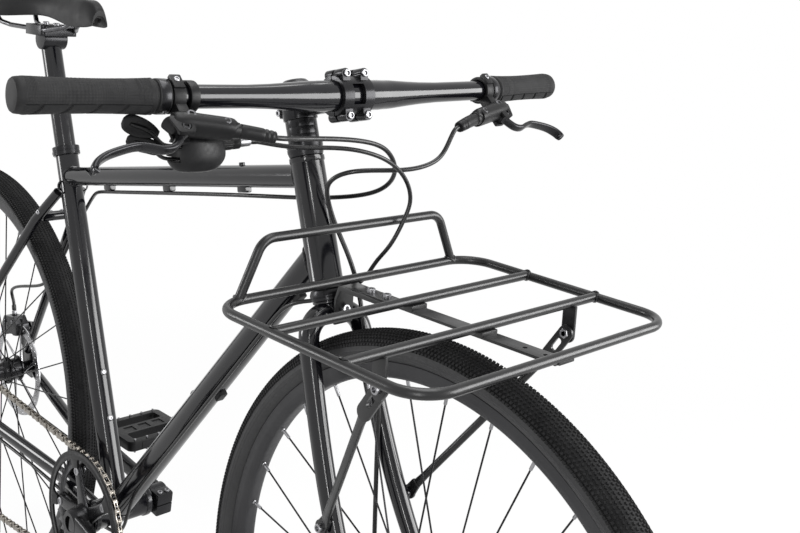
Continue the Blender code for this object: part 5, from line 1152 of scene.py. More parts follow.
def shift_lever(word, h, tip, wide):
    """A thumb lever: a hub inside the housing's slot and a paddle reaching out."""
    hub, tip = SHIFT_PIN + Z * h, Vector(tip)
    path = [hub + Vector((-0.0010, -0.002, 0)), hub + Vector((-0.0080, -0.018, 0.0002)), hub.lerp(tip, 0.62),
            tip.lerp(hub, 0.12), tip]
    sizes = [(0.0040, 0.0017), (0.0045, 0.0017), (wide * 0.8, 0.0024), (wide, 0.0024), (wide * 0.5, 0.0018)]
    way = (tip - hub).normalized()
    broad = [(0.0030, 0.0014), (0.0062, 0.0018), (wide * 0.92, 0.0019), (wide, 0.0019), (wide * 0.96, 0.0019),
             (wide * 0.72, 0.0017), (wide * 0.34, 0.0014)]
    spots = [tip - way * back for back in (0.0330, 0.0270, 0.0200, 0.0130, 0.0070, 0.0022, 0.0)]
    shapes = [tube(path[:4], sizes[:3] + [(wide * 0.4, 0.0020)], "plastic", 32, Z, fine=8),
              tube(spots, broad, "plastic", 40, X, fine=6),
              rod(hub - Z * 0.0019, hub + Z * 0.0019, 0.0052, "plastic", 32)]
    piece("shift_lever_%s_finish" % word, shapes, "shift_lever_" + word)


# Front carrier

RACK_BACK_Z, RACK_FRONT_Z, RACK_ROUND = 0.7270, 0.7240, 0.0360
HOOP_LOW_Y, HOOP_TOP_Y, HOOP_Z, BAR_UP = 0.1430, 0.1172, 0.7835, 0.0008
HANGER_Y, HANGER_Z = 0.1290, 0.6950
SPINE_TOP, SPINE_HALF = 0.7190, 0.0095
CROWN_T, CROWN_N = 0.3712, 0.0156


def rack_z(x):
    return RACK_BACK_Z + (RACK_FRONT_Z - RACK_BACK_Z) * (x - RACK_X[0]) / (RACK_X[3] - RACK_X[0])


def rack():
    """The platform's bent outer tube, two crossing bars, the rear hoop, hangers and welds."""
    ring = [Vector((x, y, rack_z(x))) for x, y in
            ((RACK_X[0], -RACK_W), (RACK_X[3], -RACK_W), (RACK_X[3], RACK_W), (RACK_X[0], RACK_W))]
    shapes = [tube(corners(ring, RACK_ROUND, 14, True), TUBE_R, "powder", 28, Z, True)]
    for x in RACK_X[1:3]:
        ends = [Vector((x, side * (RACK_W - 0.001), rack_z(x) + BAR_UP)) for side in (-1, 1)]
        shapes.append(rod(*ends, TUBE_R, "powder", 28, 0))
        for side in (0, 1):
            rail = Vector((x, (2 * side - 1) * RACK_W, rack_z(x)))
            shapes.append(bead(ends[1 - side], ends[side], TUBE_R, rail - X * 0.05, rail + X * 0.05, TUBE_R,
                               "powder", 0.0022, 30))
    x = RACK_X[0]
    arch = [Vector(p) for p in ((x, -HOOP_LOW_Y, rack_z(x)), (x, -HOOP_TOP_Y, HOOP_Z),
                                (x, HOOP_TOP_Y, HOOP_Z),
                                (x, HOOP_LOW_Y, rack_z(x)))]
    shapes.append(tube(corners(arch, 0.0200, 12), TUBE_R, "powder", 28, X))
    for top, foot in ((arch[1], arch[0]), (arch[2], arch[3])):
        shapes.append(bead(top, foot, TUBE_R, foot - Y * 0.05, foot + Y * 0.05, TUBE_R, "powder", 0.0022, 30))
    x = RACK_X[2]
    for side in (-1, 1):
        edge = [(-0.0080, 0.0)] + arc((0, -0.0320), 0.0080, 180, 360, 12) + [(0.0080, 0.0)]
        at = Vector((x, side * HANGER_Y, rack_z(x) - 0.0010))
        hanger = plate(edge, at, X, Z, 0.0030, "powder", 0.0004)
        hole = Vector((x, side * HANGER_Y, HANGER_Z))
        shapes.append(cut(hanger, [rod(hole - Y * 0.01, hole + Y * 0.01, 0.0034, "powder", 24, 0)]))
    piece("rack_finish", shapes, "rack")


def rack_spine():
    """The flat strap under the platform, its saddles, bolts and the bracket to the crown."""
    strap = block((0.5125, 0, SPINE_TOP - 0.0015), (0.2900, 2 * SPINE_HALF, 0.0030), "powder", edge=0.0005)
    cut(strap, [rod((x, 0, 0.70), (x, 0, 0.74), 0.0024, "powder", 24, 0) for x in (0.615, 0.639)])
    shapes = [strap]
    for x, back, up in ((RACK_X[1], 0.0, BAR_UP), (RACK_X[2], 0.0, BAR_UP), (RACK_X[3], 0.003, 0.0)):
        low, high = SPINE_TOP - 0.001, rack_z(x) - 0.0025
        saddle_block = block((x - back, 0, (low + high) / 2), (0.0140, 0.0210, high - low), "powder",
                             edge=0.0010)
        bar = Vector((x, 0, rack_z(x) + up))
        shapes.append(cut(saddle_block, [rod(bar - Y * 0.05, bar + Y * 0.05, 0.0050, "powder", 28, 0)]))
    edge = [(0.3700, 0.7190), (0.3640, 0.7030), (0.3640, 0.6750), (0.3670, 0.6750), (0.3672, 0.7020),
            (0.3725, 0.7130), (0.4480, 0.7130), (0.4480, 0.7170)]
    shapes.append(plate(edge, (0, 0, 0), X, Z, 0.0238, "powder", 0.0009))
    shapes.append(rod(steer(CROWN_T, CROWN_N + GAP), steer(CROWN_T, 0.0222), 0.0058, "steel", 32, 0.0006))
    shapes.append(bolt(steer(CROWN_T, 0.0225), OUT, 0.0048, 0.0052))
    shapes += [bolt(Vector((x, 0, SPINE_TOP)), Z, 0.0046, 0.0040) for x in (0.407, 0.431)]
    piece("rack_spine_finish", shapes, "rack_spine")


def strut(word, side):
    """A round strut with a flattened, slotted head at the carrier and a flat foot on the fork."""
    foot = leg_point(side, BOSS_T) + Y * (side * (BOSS_OUT + GAP + 0.0015))
    head = Vector((RACK_X[2], side * (HANGER_Y - 0.0015 - GAP - 0.0015), HANGER_Z))
    way = (head - foot).normalized()
    flat = Vector((way.x, 0, way.z)).normalized()
    out = flat.cross(Y)
    edge = arc((-0.034, 0), 0.0085, 90, 270, 12) + arc((0, 0), 0.0085, -90, 90, 12)
    eye = plate(edge, head, flat, out, 0.0030, "powder", 0.0005)
    slot = arc((-0.0232, 0), 0.0032, 90, 270, 8) + arc((-0.0128, 0), 0.0032, -90, 90, 8)
    cut(eye, [plate(slot, head, flat, out, 0.02, "powder", 0)])
    start, rod_end = head - flat * 0.0330, foot + flat * 0.0070
    shares = (0.0, 0.03, 0.09, 0.5, 0.90, 0.97, 1.0)
    radii = [(0.0074, 0.0016), (0.0058, 0.0026), 0.0042, 0.0042, 0.0042, (0.0052, 0.0028), (0.0066, 0.0019)]
    shapes = [eye, tube([start.lerp(rod_end, s) for s in shares], radii, "powder", 28, Y)]
    edge = arc((0, 0), 0.0080, 60, 300, 14) + [(0.0160, -0.0058), (0.0160, 0.0058)]
    shapes.append(plate(edge, foot, flat, out, 0.0030, "powder", 0.0005))
    shapes.append(bolt(foot + Y * (side * 0.0015), Y * side, 0.0046, 0.0042))
    inner, outer = head - Y * (side * 0.0050), head + Y * (side * 0.0052)
    shapes.append(rod(inner, outer, 0.0030, "steel", 24))
    shapes.append(bolt(outer - Y * (side * 0.0006), Y * side, 0.0046, 0.0042))
    shapes.append(rod(inner, head - Y * (side * 0.0016), 0.0052, "steel", 6, 0.0005))
    piece("rack_strut_%s_finish" % word, shapes, "rack_strut_" + word)


# Wheels

SPOKES, NIPPLE_TURN = 32, 9.5
NIPPLE = Vector((cos(radians(NIPPLE_TURN)), 0, sin(radians(NIPPLE_TURN))))
CROWN_R, BELLY_R, BELLY_Y = 0.3473, 0.3300, 0.0194
KNOB_STEP, KNOB_ROWS = 0.0048, 6


def casing(turn):
    """Radius and half width of the casing, turn from the crown (0) to the bead (1)."""
    if turn < 0.5:
        a = turn * pi
        return BELLY_R + (CROWN_R - BELLY_R) * cos(a), BELLY_Y * sin(a) ** 0.92
    s = (turn - 0.5) * 2
    return BELLY_R - (BELLY_R - 0.3180) * s, BELLY_Y - (BELLY_Y - 0.0114) * s ** 2.2


def tread(axle):
    """Small diamond knobs in offset rows, growing into square blocks at the shoulders."""
    points, faces = [], []
    count = round(2 * pi * CROWN_R / KNOB_STEP)
    for row in range(-KNOB_ROWS, KNOB_ROWS + 1):
        share = abs(row) / KNOB_ROWS
        place = 0.40 * share
        high = 0.0013 + 0.0006 * share
        long, wide = 0.0017 + 0.0004 * share, 0.00135 + 0.0003 * share
        side = 1 if row >= 0 else -1
        r, h = casing(place)
        r2, h2 = casing(place + 0.02)
        tangent = Vector((0, (h2 - h) * side, r2 - r)).normalized()
        normal = Vector((0, -tangent.z, tangent.y)) if side > 0 else Vector((0, tangent.z, -tangent.y))
        if normal.z < 0:
            normal = -normal
        square = share > 0.8
        for k in range(count):
            turn = 2 * pi * (k + 0.5 * (row % 2)) / count
            radial = Vector((cos(turn), 0, sin(turn)))
            around = Vector((-sin(turn), 0, cos(turn)))
            up = Y * normal.y + radial * normal.z
            over = Y * tangent.y + radial * tangent.z
            foot = axle + radial * r + Y * (h * side)
            first = len(points)
            for lift, grow in ((-0.0006, 1.12), (high, 0.82)):
                ways = ((1, 0), (0, 1), (-1, 0), (0, -1))
                if square:
                    ways = ((0.9, 0.9), (-0.7, 0.9), (-0.9, -0.9), (0.7, -0.9))
                for u, v in ways:
                    points.append(foot + up * lift + around * (u * long * grow) + over * (v * wide * grow))
            faces.append((first + 4, first + 5, first + 6, first + 7))
            faces.append((first + 3, first + 2, first + 1, first))
            faces += [(first + i, first + (i + 1) % 4, first + 4 + (i + 1) % 4,
                       first + 4 + i) for i in range(4)]
    return solid(points, faces, "tread")


def tyre(word, axle):
    outer = [casing(k / 28) for k in range(29)]
    outer[0] = (CROWN_R, 0.0)
    outer = [(r + (0.0006 if 0.70 < k / 28 < 0.74 else 0), h + (0.0004 if 0.52 < k / 28 < 0.56 else 0))
             for k, (r, h) in enumerate(outer)]
    half = outer + [(0.3180, 0.0089), (0.3130, 0.0087), (0.3130, 0.0062), (0.3440, 0.0060), (0.3455, 0.0)]
    profile = half[:-1] + [(0.3455, 0.0)] + [(r, -h) for r, h in reversed(half[1:-1])]
    wall = lathe(profile, axle, Y, "wall", 240, one=NIPPLE)
    wall.data.materials.append(LOOK["tread"])
    for face in wall.data.polygons:
        at = face.center - axle
        if abs(at.y) < 0.0186 and hypot(at.x, at.z) > 0.3335:
            face.material_index = 1
    piece(word + "_tyre_finish", [wall, tread(axle)], word + "_tyre", angle=40)


def rim(word, axle, flanges):
    """A box rim with rounded hooks, nipples and laced spokes."""
    half = [(0.3120, 0.0091), (0.3150, 0.0091), (0.3168, 0.0096), (RIM_TOP, 0.0104), (RIM_TOP, 0.0114),
            (0.3172, RIM_HALF), (0.3095, RIM_HALF), (0.3080, 0.0119), (0.3030, 0.0103), (0.3008, 0.0088),
            (RIM_IN + 0.0003, 0.0066), (RIM_IN, 0.0030)]
    profile = half + [(r, -h) for r, h in reversed(half)]
    shapes = [lathe(profile, axle, Y, "rim", 240, one=NIPPLE)]
    for k in range(SPOKES):
        turn = radians(NIPPLE_TURN) + 2 * pi * k / SPOKES
        side = -1 if k % 2 else 1
        lead = 1 if (k // 2) % 2 else -1
        at_hub = turn + lead * radians(65)
        a = axle + Vector((cos(at_hub) * 0.0190, flanges[side > 0] + 0.0026 * lead, sin(at_hub) * 0.0190))
        b = axle + Vector((cos(turn) * RIM_IN, 0.0012 * side, sin(turn) * RIM_IN))
        way = (b - a).normalized()
        shapes.append(rod(a, b - way * 0.009, 0.0010, "spoke", 10, 0))
        shapes.append(lathe([(0, -0.0125), (0.0014, -0.0125), (0.0018, -0.0118), (0.0019, -0.0010),
                             (0.0027, 0.0),
                             (0.0027, 0.0016), (0, 0.0016)], b, way, "steel", 14))
    piece(word + "_rim_finish", shapes, word + "_rim")


def rotor(at):
    """The brake disc: a drilled ring with a wavy rim, six swept arms and a black carrier."""
    rows = [(0.0800, -0.0009), (0.0800, 0.0009), (0.0655, 0.0009), (0.0655, -0.0009)]
    ring = lathe(rows, at, Y, "disc", 240,
                 shape=lambda turn, r, h: 1 - 0.008 * (0.5 + 0.5 * cos(12 * turn)) if r > 0.07 else
                 1 + 0.010 * (0.5 + 0.5 * cos(12 * turn)))
    holes = []
    for k in range(48):
        turn = 2 * pi * k / 48
        r = (0.0700, 0.0728, 0.0756)[k % 3]
        spot = at + Vector((cos(turn), 0, sin(turn))) * r
        holes.append(rod(spot - Y * 0.004, spot + Y * 0.004, 0.0016, "disc", 12, 0))
    with bpy.context.temp_override(active_object=holes[0], object=holes[0], selected_objects=holes,
                                   selected_editable_objects=holes):
        bpy.ops.object.join()
    cut(ring, holes[:1])
    shapes = [ring, lathe([(0, -0.0010), (0.0215, -0.0010), (0.0215, 0.0010), (0, 0.0010)], at, Y,
                          "anodised", 60,
                          0.0003, shape=lambda turn, r, h: 1 - 0.06 * (0.5 - 0.5 * cos(6 * turn)))]
    for k in range(6):
        turn = 2 * pi * k / 6
        a = at + Vector((cos(turn), 0, sin(turn))) * 0.0190
        b = at + Vector((cos(turn + 0.42), 0, sin(turn + 0.42))) * 0.0672
        shapes.append(tube([a, a.lerp(b, 0.3), a.lerp(b, 0.75), b], [(0.0046, 0.0008), (0.0026, 0.0008),
                      (0.0024, 0.0008), (0.0046, 0.0008)], "disc", 16, Y, fine=5, square=0.35))
        spot = at + Vector((cos(turn + 0.2), 0, sin(turn + 0.2))) * 0.0150
        shapes.append(bolt(spot + Y * 0.0010, Y, 0.0026, 0.0014))
    return shapes


def hub(word, axle, flanges, ends, disc, free=None):
    """Hub shell with two flanges, end caps and the brake disc."""
    right, left = flanges
    tail = [(0, -ends), (0.0086, -ends), (0.0090, 0.0006 - ends), (0.0090, right - 0.0120)]
    if free:
        tail = [(0, -ends), (0.0086, -ends), (0.0090, 0.0006 - ends), (0.0090, free - 0.0010),
                (0.0158, free - 0.0010), (0.0158, right - 0.0050)]
    middle = (right + left) / 2
    profile = tail + [(0.0190, right - 0.0030), (0.0222, right - 0.0018), (0.0225, right - 0.0012),
                      (0.0225, right + 0.0012), (0.0222, right + 0.0018), (0.0185, right + 0.0026),
                      (0.0148, right + 0.0070), (0.0138, right + 0.0120), (0.0134, middle),
                      (0.0138, left - 0.0120),
                      (0.0148, left - 0.0070), (0.0185, left - 0.0026), (0.0222, left - 0.0018),
                      (0.0225, left - 0.0012), (0.0225, left + 0.0012), (0.0222, left + 0.0018),
                      (0.0180, left + 0.0034), (0.0180, disc + 0.0018), (0.0172, disc + 0.0024),
                      (0.0094, disc + 0.0038), (0.0090, disc + 0.0050), (0.0090, ends - 0.0006),
                      (0.0086, ends),
                      (0, ends)]
    shell = lathe(profile, axle, Y, "anodised", 64)
    cut(shell, [rod(axle - Y * 0.2, axle + Y * 0.2, 0.0056, "anodised", 32, 0)])
    piece(word + "_hub_finish", [shell] + rotor(axle + Y * disc), word + "_hub")


def axle_rod(word, axle, reach):
    """A through axle with a flanged nut at each end."""
    shapes = [rod(axle - Y * (reach - 0.002), axle + Y * (reach - 0.002), 0.0050, "steel", 32, 0.0006)]
    for side in (-1, 1):
        inner = axle + Y * (side * (reach - 0.0068))
        outer = axle + Y * (side * (reach - 0.0006))
        shapes.append(rod(inner, outer, 0.0083, "steel", 6, 0.0010))
        shapes.append(rod(inner, inner + Y * (side * 0.0012), 0.0085, "steel", 40, 0.0004))
    piece(word + "_axle_finish", shapes, word + "_axle")


def caliper(word, centre, radial, disc, tab):
    """A two-piston caliper: halves, pads, bridge bolts and hose port."""
    half, around = CALIPER_HALF, radial.cross(Y)
    edge = [(-0.0260, -0.0150), (-0.0120, -0.0150), (-0.0090, -0.0130), (0.0090, -0.0130), (0.0120, -0.0150),
            (0.0260, -0.0150), (0.0280, -0.0060), (0.0280, 0.0040), (0.0180, 0.0170), (-0.0180, 0.0170),
            (-0.0280, 0.0040), (-0.0280, -0.0060)]
    at = Vector((centre.x, disc, centre.z))
    made = plate(edge, at, around, radial, 2 * half, "anodised", 0.0022)
    cut(made, [block(at - radial * 0.0120, (0.08, 0.0480, 0.0026), "anodised", around, radial, 0),
               block(at + radial * 0.004, (0.0200, 0.0400, 0.0080), "anodised", around, radial, 0)])
    shapes = [made]
    for side in (-1, 1):
        shapes.append(block(at + Y * (side * 0.0022) - radial * 0.004, (0.0180, 0.0180, 0.0014), "dark_steel",
                            around, radial, 0.0003))
    for spot in bolt_spots(centre, radial):
        outer = spot + Y * (tab + 0.0040)
        shapes.append(rod(spot + Y * (disc + half - 0.004), outer, 0.0029, "steel", 24))
        shapes.append(bolt(spot + Y * (tab + 0.0038), Y, 0.0046, 0.0022))
        if tab - GAP > disc + half:
            shapes.append(rod(spot + Y * (disc + half - 0.003), spot + Y * (tab - GAP), 0.0052,
                              "anodised", 32))
    for end in (-0.013, 0.013):
        shapes.append(bolt(at + around * end + radial * 0.0080 - Y * half, -Y, 0.0030, 0.0018))
    entry = at + radial * 0.012
    shapes.append(rod(entry, at + radial * 0.0190, 0.0042, "anodised", 32))
    shapes.append(rod(at + radial * 0.0185, at + radial * 0.0240, 0.0042, "steel", 6, 0.0005))
    piece(word + "_caliper_finish", shapes, word + "_caliper")


# Drivetrain

COGS, COG_STEP, COG_HALF = (11, 13, 15, 18, 21, 24, 28, 32), 0.0048, 0.0009
GUIDE, CAGE_LONG, LINKS = Vector((-0.5000, 0, 0.2620)), 0.0760, 110
ARMS, BOLT_R, ARM_Y, BOSS_Y = 5, 0.0650, 0.0640, 0.0700
PEDAL_FROM, PEDAL_TO = 0.0860, 0.1860
HANGER = REAR + Vector((-0.002, -0.0731, -0.0280))
CAGE_IN, CAGE_OUT = CHAIN_Y + 0.0052, CHAIN_Y - 0.0052


def pitch_radius(teeth):
    return teeth * PITCH / (2 * pi)


def tension_pulley(turn):
    return GUIDE + Vector((cos(turn), 0, sin(turn))) * CAGE_LONG


def chain_loop(turn):
    """The chain's round: (is a bend, start or centre, angle, length, radius, sense)."""
    wheels = [(BB, pitch_radius(RING_T), -1), (tension_pulley(turn), pitch_radius(JOCKEY_T), -1),
              (GUIDE, pitch_radius(JOCKEY_T), 1), (REAR, pitch_radius(COG_T), -1)]
    ways = []
    for (p, r, s), (q, t, u) in zip(wheels, wheels[1:] + wheels[:1]):
        gap = q - p
        ways.append(atan2(gap.z, gap.x) + asin((s * r - u * t) / gap.length))
    parts = []
    for i, (p, r, s) in enumerate(wheels):
        came, goes = ways[i - 1], ways[i]
        parts.append((True, p, came, ((s * (goes - came)) % (2 * pi)) * r, r, s))
        q, t, u = wheels[(i + 1) % 4]
        right = Vector((sin(goes), 0, -cos(goes)))
        start, end = p + right * (s * r), q + right * (u * t)
        parts.append((False, start, goes, (end - start).length, 0, 0))
    return parts


def cage_turn():
    """The cage angle at which the loop is a whole number of links."""
    low, high = radians(-120), radians(-40)
    for _ in range(50):
        mid = (low + high) / 2
        if sum(part[3] for part in chain_loop(mid)) > LINKS * PITCH:
            low = mid
        else:
            high = mid
    return (low + high) / 2


CAGE_TURN = cage_turn()
TENSION = tension_pulley(CAGE_TURN)
LOOP = chain_loop(CAGE_TURN)


def chain_spot(s):
    """Where the chain is after s metres, and its direction there."""
    for bend, at, way, length, r, sense in LOOP:
        if s <= length:
            break
        s -= length
    if not bend:
        return at + Vector((cos(way), 0, sin(way))) * s, way
    way += sense * s / r
    return at + Vector((sin(way), 0, -cos(way))) * (sense * r), way


def link_outline(long, tall, waist, steps=7):
    """Half the outline of a chain plate, from one end round to the other."""
    end = arc((long / 2, 0), tall, -70, 70, steps)
    back = arc((-long / 2, 0), tall, 110, 250, steps)
    return end + [(0.0012, waist), (-0.0012, waist)] + back + [(-0.0012, -waist), (0.0012, -waist)]


def chain():
    """110 links: waisted plates in pairs, rollers and riveted pins."""
    points, faces = [], []

    def prism(ring, low, high):
        n, first = len(ring), len(points)
        points.extend([p + Y * low for p in ring] + [p + Y * high for p in ring])
        faces.append(tuple(first + i for i in range(n)))
        faces.append(tuple(first + n + i for i in reversed(range(n))))
        faces.extend((first + i, first + (i + 1) % n, first + n + (i + 1) % n,
                      first + n + i) for i in range(n))

    for j in range(LINKS):
        a, _ = chain_spot((j * PITCH) % (LINKS * PITCH))
        b, _ = chain_spot(((j + 1) * PITCH) % (LINKS * PITCH))
        mid, way = (a + b) / 2, (b - a).normalized()
        up = Vector((-way.z, 0, way.x))
        outer = j % 2
        ring = [mid + way * u + up * v for u, v in link_outline(PITCH, 0.0040, 0.0027 if outer else 0.0031)]
        for side in (-1, 1):
            low, high = (0.0024, 0.0032) if outer else (0.0014, 0.0022)
            low, high = sorted((side * low, side * high))
            prism(ring, CHAIN_Y + low, CHAIN_Y + high)
        ring = [a + Vector((cos(t), 0, sin(t))) * 0.0037 for t in (2 * pi * k / 14 for k in range(14))]
        prism(ring, CHAIN_Y - 0.00135, CHAIN_Y + 0.00135)
        ring = [a + Vector((cos(t), 0, sin(t))) * 0.0017 for t in (2 * pi * k / 10 for k in range(10))]
        prism(ring, CHAIN_Y - 0.0035, CHAIN_Y + 0.0035)
    piece("chain_links", [solid(points, faces, "chain")], "chain", angle=30)


def first_tooth(centre, teeth):
    """The angle of a tooth: half a pitch from a roller that lies on the wheel."""
    for k in range(LINKS):
        spot, _ = chain_spot(k * PITCH)
        arm = spot - centre
        arm.y = 0
        ahead, _ = chain_spot((k * PITCH + 0.001) % (LINKS * PITCH))
        if abs(arm.length - pitch_radius(teeth)) < 1e-6 and abs((ahead - centre).length - arm.length) < 1e-6:
            return atan2(arm.z, arm.x) + pi / teeth
    return 0.0


def toothed(centre, teeth, y, thick, first, look, tip=0.0032, seat=0.0041, edge=0.0003):
    """A toothed disc with round seats for the chain's rollers."""
    r = pitch_radius(teeth)
    outline = []
    for k in range(teeth):
        turn = first + 2 * pi * k / teeth
        for w in (-0.0007, 0.0007):
            outline.append(((r + tip) * cos(turn + w / r), (r + tip) * sin(turn + w / r)))
        middle = turn + pi / teeth
        at = (r * cos(middle), r * sin(middle))
        for step in range(7):
            a = middle + pi + radians(72 - 24 * step)
            outline.append((at[0] + seat * cos(a), at[1] + seat * sin(a)))
    return plate(outline, centre + Y * y, X, Z, thick, look, edge)


def arm_turns():
    return [radians(CRANK_TURN + 42) + 2 * pi * k / ARMS for k in range(ARMS)]


def crank_way(side):
    turn = radians(CRANK_TURN) + (0 if side < 0 else pi)
    return Vector((cos(turn), 0, sin(turn)))


def chainring():
    ring = toothed(BB, RING_T, CHAIN_Y, 0.0020, first_tooth(BB, RING_T), "dark_steel", 0.0034)
    cut(ring, [rod(BB - Y * 0.1, BB + Y * 0.1, 0.0710, "dark_steel", 120, 0)])
    shapes = [ring]
    for turn in arm_turns():
        way = Vector((cos(turn), 0, sin(turn)))
        spot = BB + way * BOLT_R + Y * CHAIN_Y
        edge = arc((0, 0), 0.0075, 90, 270, 12) + [(0.0085, -0.0085), (0.0085, 0.0085)]
        tab = plate(edge, spot, way, way.cross(Y), 0.0019, "dark_steel", 0.0003)
        shapes.append(cut(tab, [rod(spot - Y * 0.01, spot + Y * 0.01, 0.0043, "dark_steel", 24, 0)]))
    piece("chainring_finish", shapes, "chainring")


def cassette():
    """Eight toothed sprockets with spacers between them and a lock ring."""
    place = COGS.index(COG_T)
    shapes = []
    for i, teeth in enumerate(COGS):
        y = CHAIN_Y + (i - place) * COG_STEP
        first = first_tooth(REAR, teeth) if teeth == COG_T else 0.1 * i
        cog = toothed(REAR, teeth, y, 2 * COG_HALF, first, "dark_steel", 0.0030)
        holes = [rod(REAR + Y * (y - 0.01), REAR + Y * (y + 0.01), 0.0180, "dark_steel", 48, 0)]
        if teeth > 22:
            r = pitch_radius(teeth) * 0.62 + 0.006
            for k in range(6):
                spot = REAR + Vector((cos(k * pi / 3 + 0.3), 0, sin(k * pi / 3 + 0.3))) * r
                holes.append(rod(spot + Y * (y - 0.01), spot + Y * (y + 0.01), r * 0.22, "dark_steel", 24, 0))
        shapes.append(cut(cog, holes))
    low, high = CHAIN_Y - place * COG_STEP - COG_HALF, CHAIN_Y + (len(COGS) - 1 - place) * COG_STEP + COG_HALF
    shapes.append(lathe([(0.0196, low), (0.0196, high), (0.0163, high), (0.0163, low)], REAR, Y,
                        "anodised", 64))
    shapes.append(lathe([(0.0205, low - 0.0003), (0.0205, low + 0.0016), (0.0163, low + 0.0016),
                         (0.0163, low - 0.0003)], REAR, Y, "steel", 96,
                        shape=lambda turn, r, h: 1 - 0.02 * max(0, cos(30 * turn)) if r > 0.02 else 1))
    piece("cassette_finish", shapes, "cassette")


def jockey(word, centre):
    wheel = toothed(centre, JOCKEY_T, CHAIN_Y, 0.0022, first_tooth(centre, JOCKEY_T), "plastic", 0.0026,
                    0.0043)
    holes = [rod(centre - Y * 0.1, centre + Y * 0.1, 0.0040, "plastic", 32, 0)]
    for k in range(5):
        spot = centre + Vector((cos(2 * pi * k / 5), 0, sin(2 * pi * k / 5))) * 0.0110
        holes.append(rod(spot - Y * 0.1, spot + Y * 0.1, 0.0022, "plastic", 16, 0))
    shapes = [cut(wheel, holes)]
    boss = [(0.0070, CHAIN_Y - 0.0034), (0.0070, CHAIN_Y + 0.0034), (0.0034, CHAIN_Y + 0.0034),
            (0.0034, CHAIN_Y - 0.0034)]
    shapes.append(lathe(boss, centre, Y, "anodised", 40, 0.0004))
    piece("jockey_%s_finish" % word, shapes, "jockey_" + word)


def derailleur_cage():
    """Two side plates held apart by the pulleys' pins."""
    way = (TENSION - GUIDE).normalized()
    across = way.cross(Y)
    edge = arc((0, 0), 0.0115, 90, 270, 16) + [(0.022, -0.0090), (0.30 * CAGE_LONG, -0.0075),
                                               (0.70 * CAGE_LONG, -0.0075)]
    edge += arc((CAGE_LONG, 0), 0.0105, -90, 90, 16)
    edge += [(0.70 * CAGE_LONG, 0.0060), (0.30 * CAGE_LONG, 0.0060)]
    shapes = []
    for y in (CAGE_OUT, CAGE_IN):
        made = plate(edge, GUIDE + Y * y, way, across, 0.0014, "anodised", 0.0003)
        middle = GUIDE + way * (CAGE_LONG * 0.5) + Y * y - across * 0.0006
        hole = arc((0.010, 0), 0.0032, -90, 90, 8) + arc((-0.010, 0), 0.0032, 90, 270, 8)
        shapes.append(cut(made, [plate(hole, middle, way, across, 0.01, "anodised", 0)]))
    for spot in (GUIDE, TENSION):
        shapes.append(rod(spot + Y * CAGE_OUT, spot + Y * (CAGE_IN + 0.0010), 0.0030, "steel", 24))
        shapes.append(bolt(spot + Y * (CAGE_IN + 0.0006), Y, 0.0044, 0.0018))
    piece("derailleur_cage_finish", shapes, "derailleur_cage")


def derailleur_body():
    """Knuckles, the parallelogram's two links, the limit screws and the cable's clamp."""
    top, low = HANGER, GUIDE + Y * (CAGE_OUT - 0.0007 - GAP)
    shapes = [lathe([(0, 0), (0.0095, 0), (0.0095, 0.0130), (0.0080, 0.0150), (0.0046, 0.0150),
                     (0.0044, 0.0120),
                     (0, 0.0120)], top, -Y, "plastic", 40)]
    shapes.append(lathe([(0, 0), (0.0115, 0), (0.0115, 0.0040), (0.0112, 0.0044), (0.0115, 0.0048),
                         (0.0115, 0.0135), (0.0095, 0.0160), (0, 0.0160)], low, -Y, "plastic", 40))
    a, b = top - Y * 0.0100, low - Y * 0.0100
    for lift, wide in ((-0.0030, 0.0085), (0.0030, 0.0070)):
        path = [p + Y * lift for p in (a, a.lerp(b, 0.3), a.lerp(b, 0.7), b)]
        sizes = [(wide * 0.8, 0.0024), (wide, 0.0028), (wide * 1.05, 0.0028), (wide * 0.85, 0.0024)]
        shapes.append(tube(path, sizes, "anodised", 28, Y, fine=4, square=0.6))
    for share in (0.24, 0.78):
        spot = a.lerp(b, share)
        shapes.append(rod(spot - Y * 0.0064, spot + Y * 0.0056, 0.0026, "steel", 20))
    barrel = top + Vector((-0.004, -0.0090, -0.0020))
    end = barrel + Vector((-0.0200, 0.0010, -0.0030))
    long = (end - barrel).length
    shapes.append(lathe([(0, 0), (0.0036, 0), (0.0036, long * 0.45), (0.0042, long * 0.48),
                         (0.0042, long - 0.0004),
                         (0.0038, long), (0, long)], barrel, end - barrel, "plastic", 48,
                        shape=lambda turn, r, h: 1 - 0.05 * max(0, cos(12 * turn)) if r > 0.004 else 1))
    piece("derailleur_body_finish", shapes, "derailleur_body")


def crank_arm(side):
    """The tapered arm from the spindle to the pedal's eye, with the pedal's axle."""
    way = crank_way(side)
    y = Y * (side * ARM_Y)
    path = [BB + y + way * r for r in (0.0, 0.020, 0.060, 0.110, 0.155, 0.1800)]
    sizes = [(0.0150, 0.0062), (0.0150, 0.0062), (0.0122, 0.0062), (0.0114, 0.0061), (0.0120, 0.0060),
             (0.0108, 0.0058)]
    shapes = [tube(path, sizes, "anodised", 48, Y, fine=5, dome=(0, 1.0), square=0.62)]
    end = BB + way * CRANK
    shapes.append(rod(end + y * 0.9, end + Y * (side * (PEDAL_TO - 0.004)), 0.0058, "dark_steel", 32, 0.0006))
    shapes.append(rod(end + Y * (side * 0.0670), end + Y * (side * (PEDAL_FROM - 0.004)), 0.0075,
                      "dark_steel", 6,
                      0.0006))
    shapes.append(lathe([(0.0085, 0), (0.0085, 0.0006), (0.0058, 0.0010), (0.0058, 0)],
                        end + Y * (side * 0.0701), Y * side, "steel", 32))
    return shapes


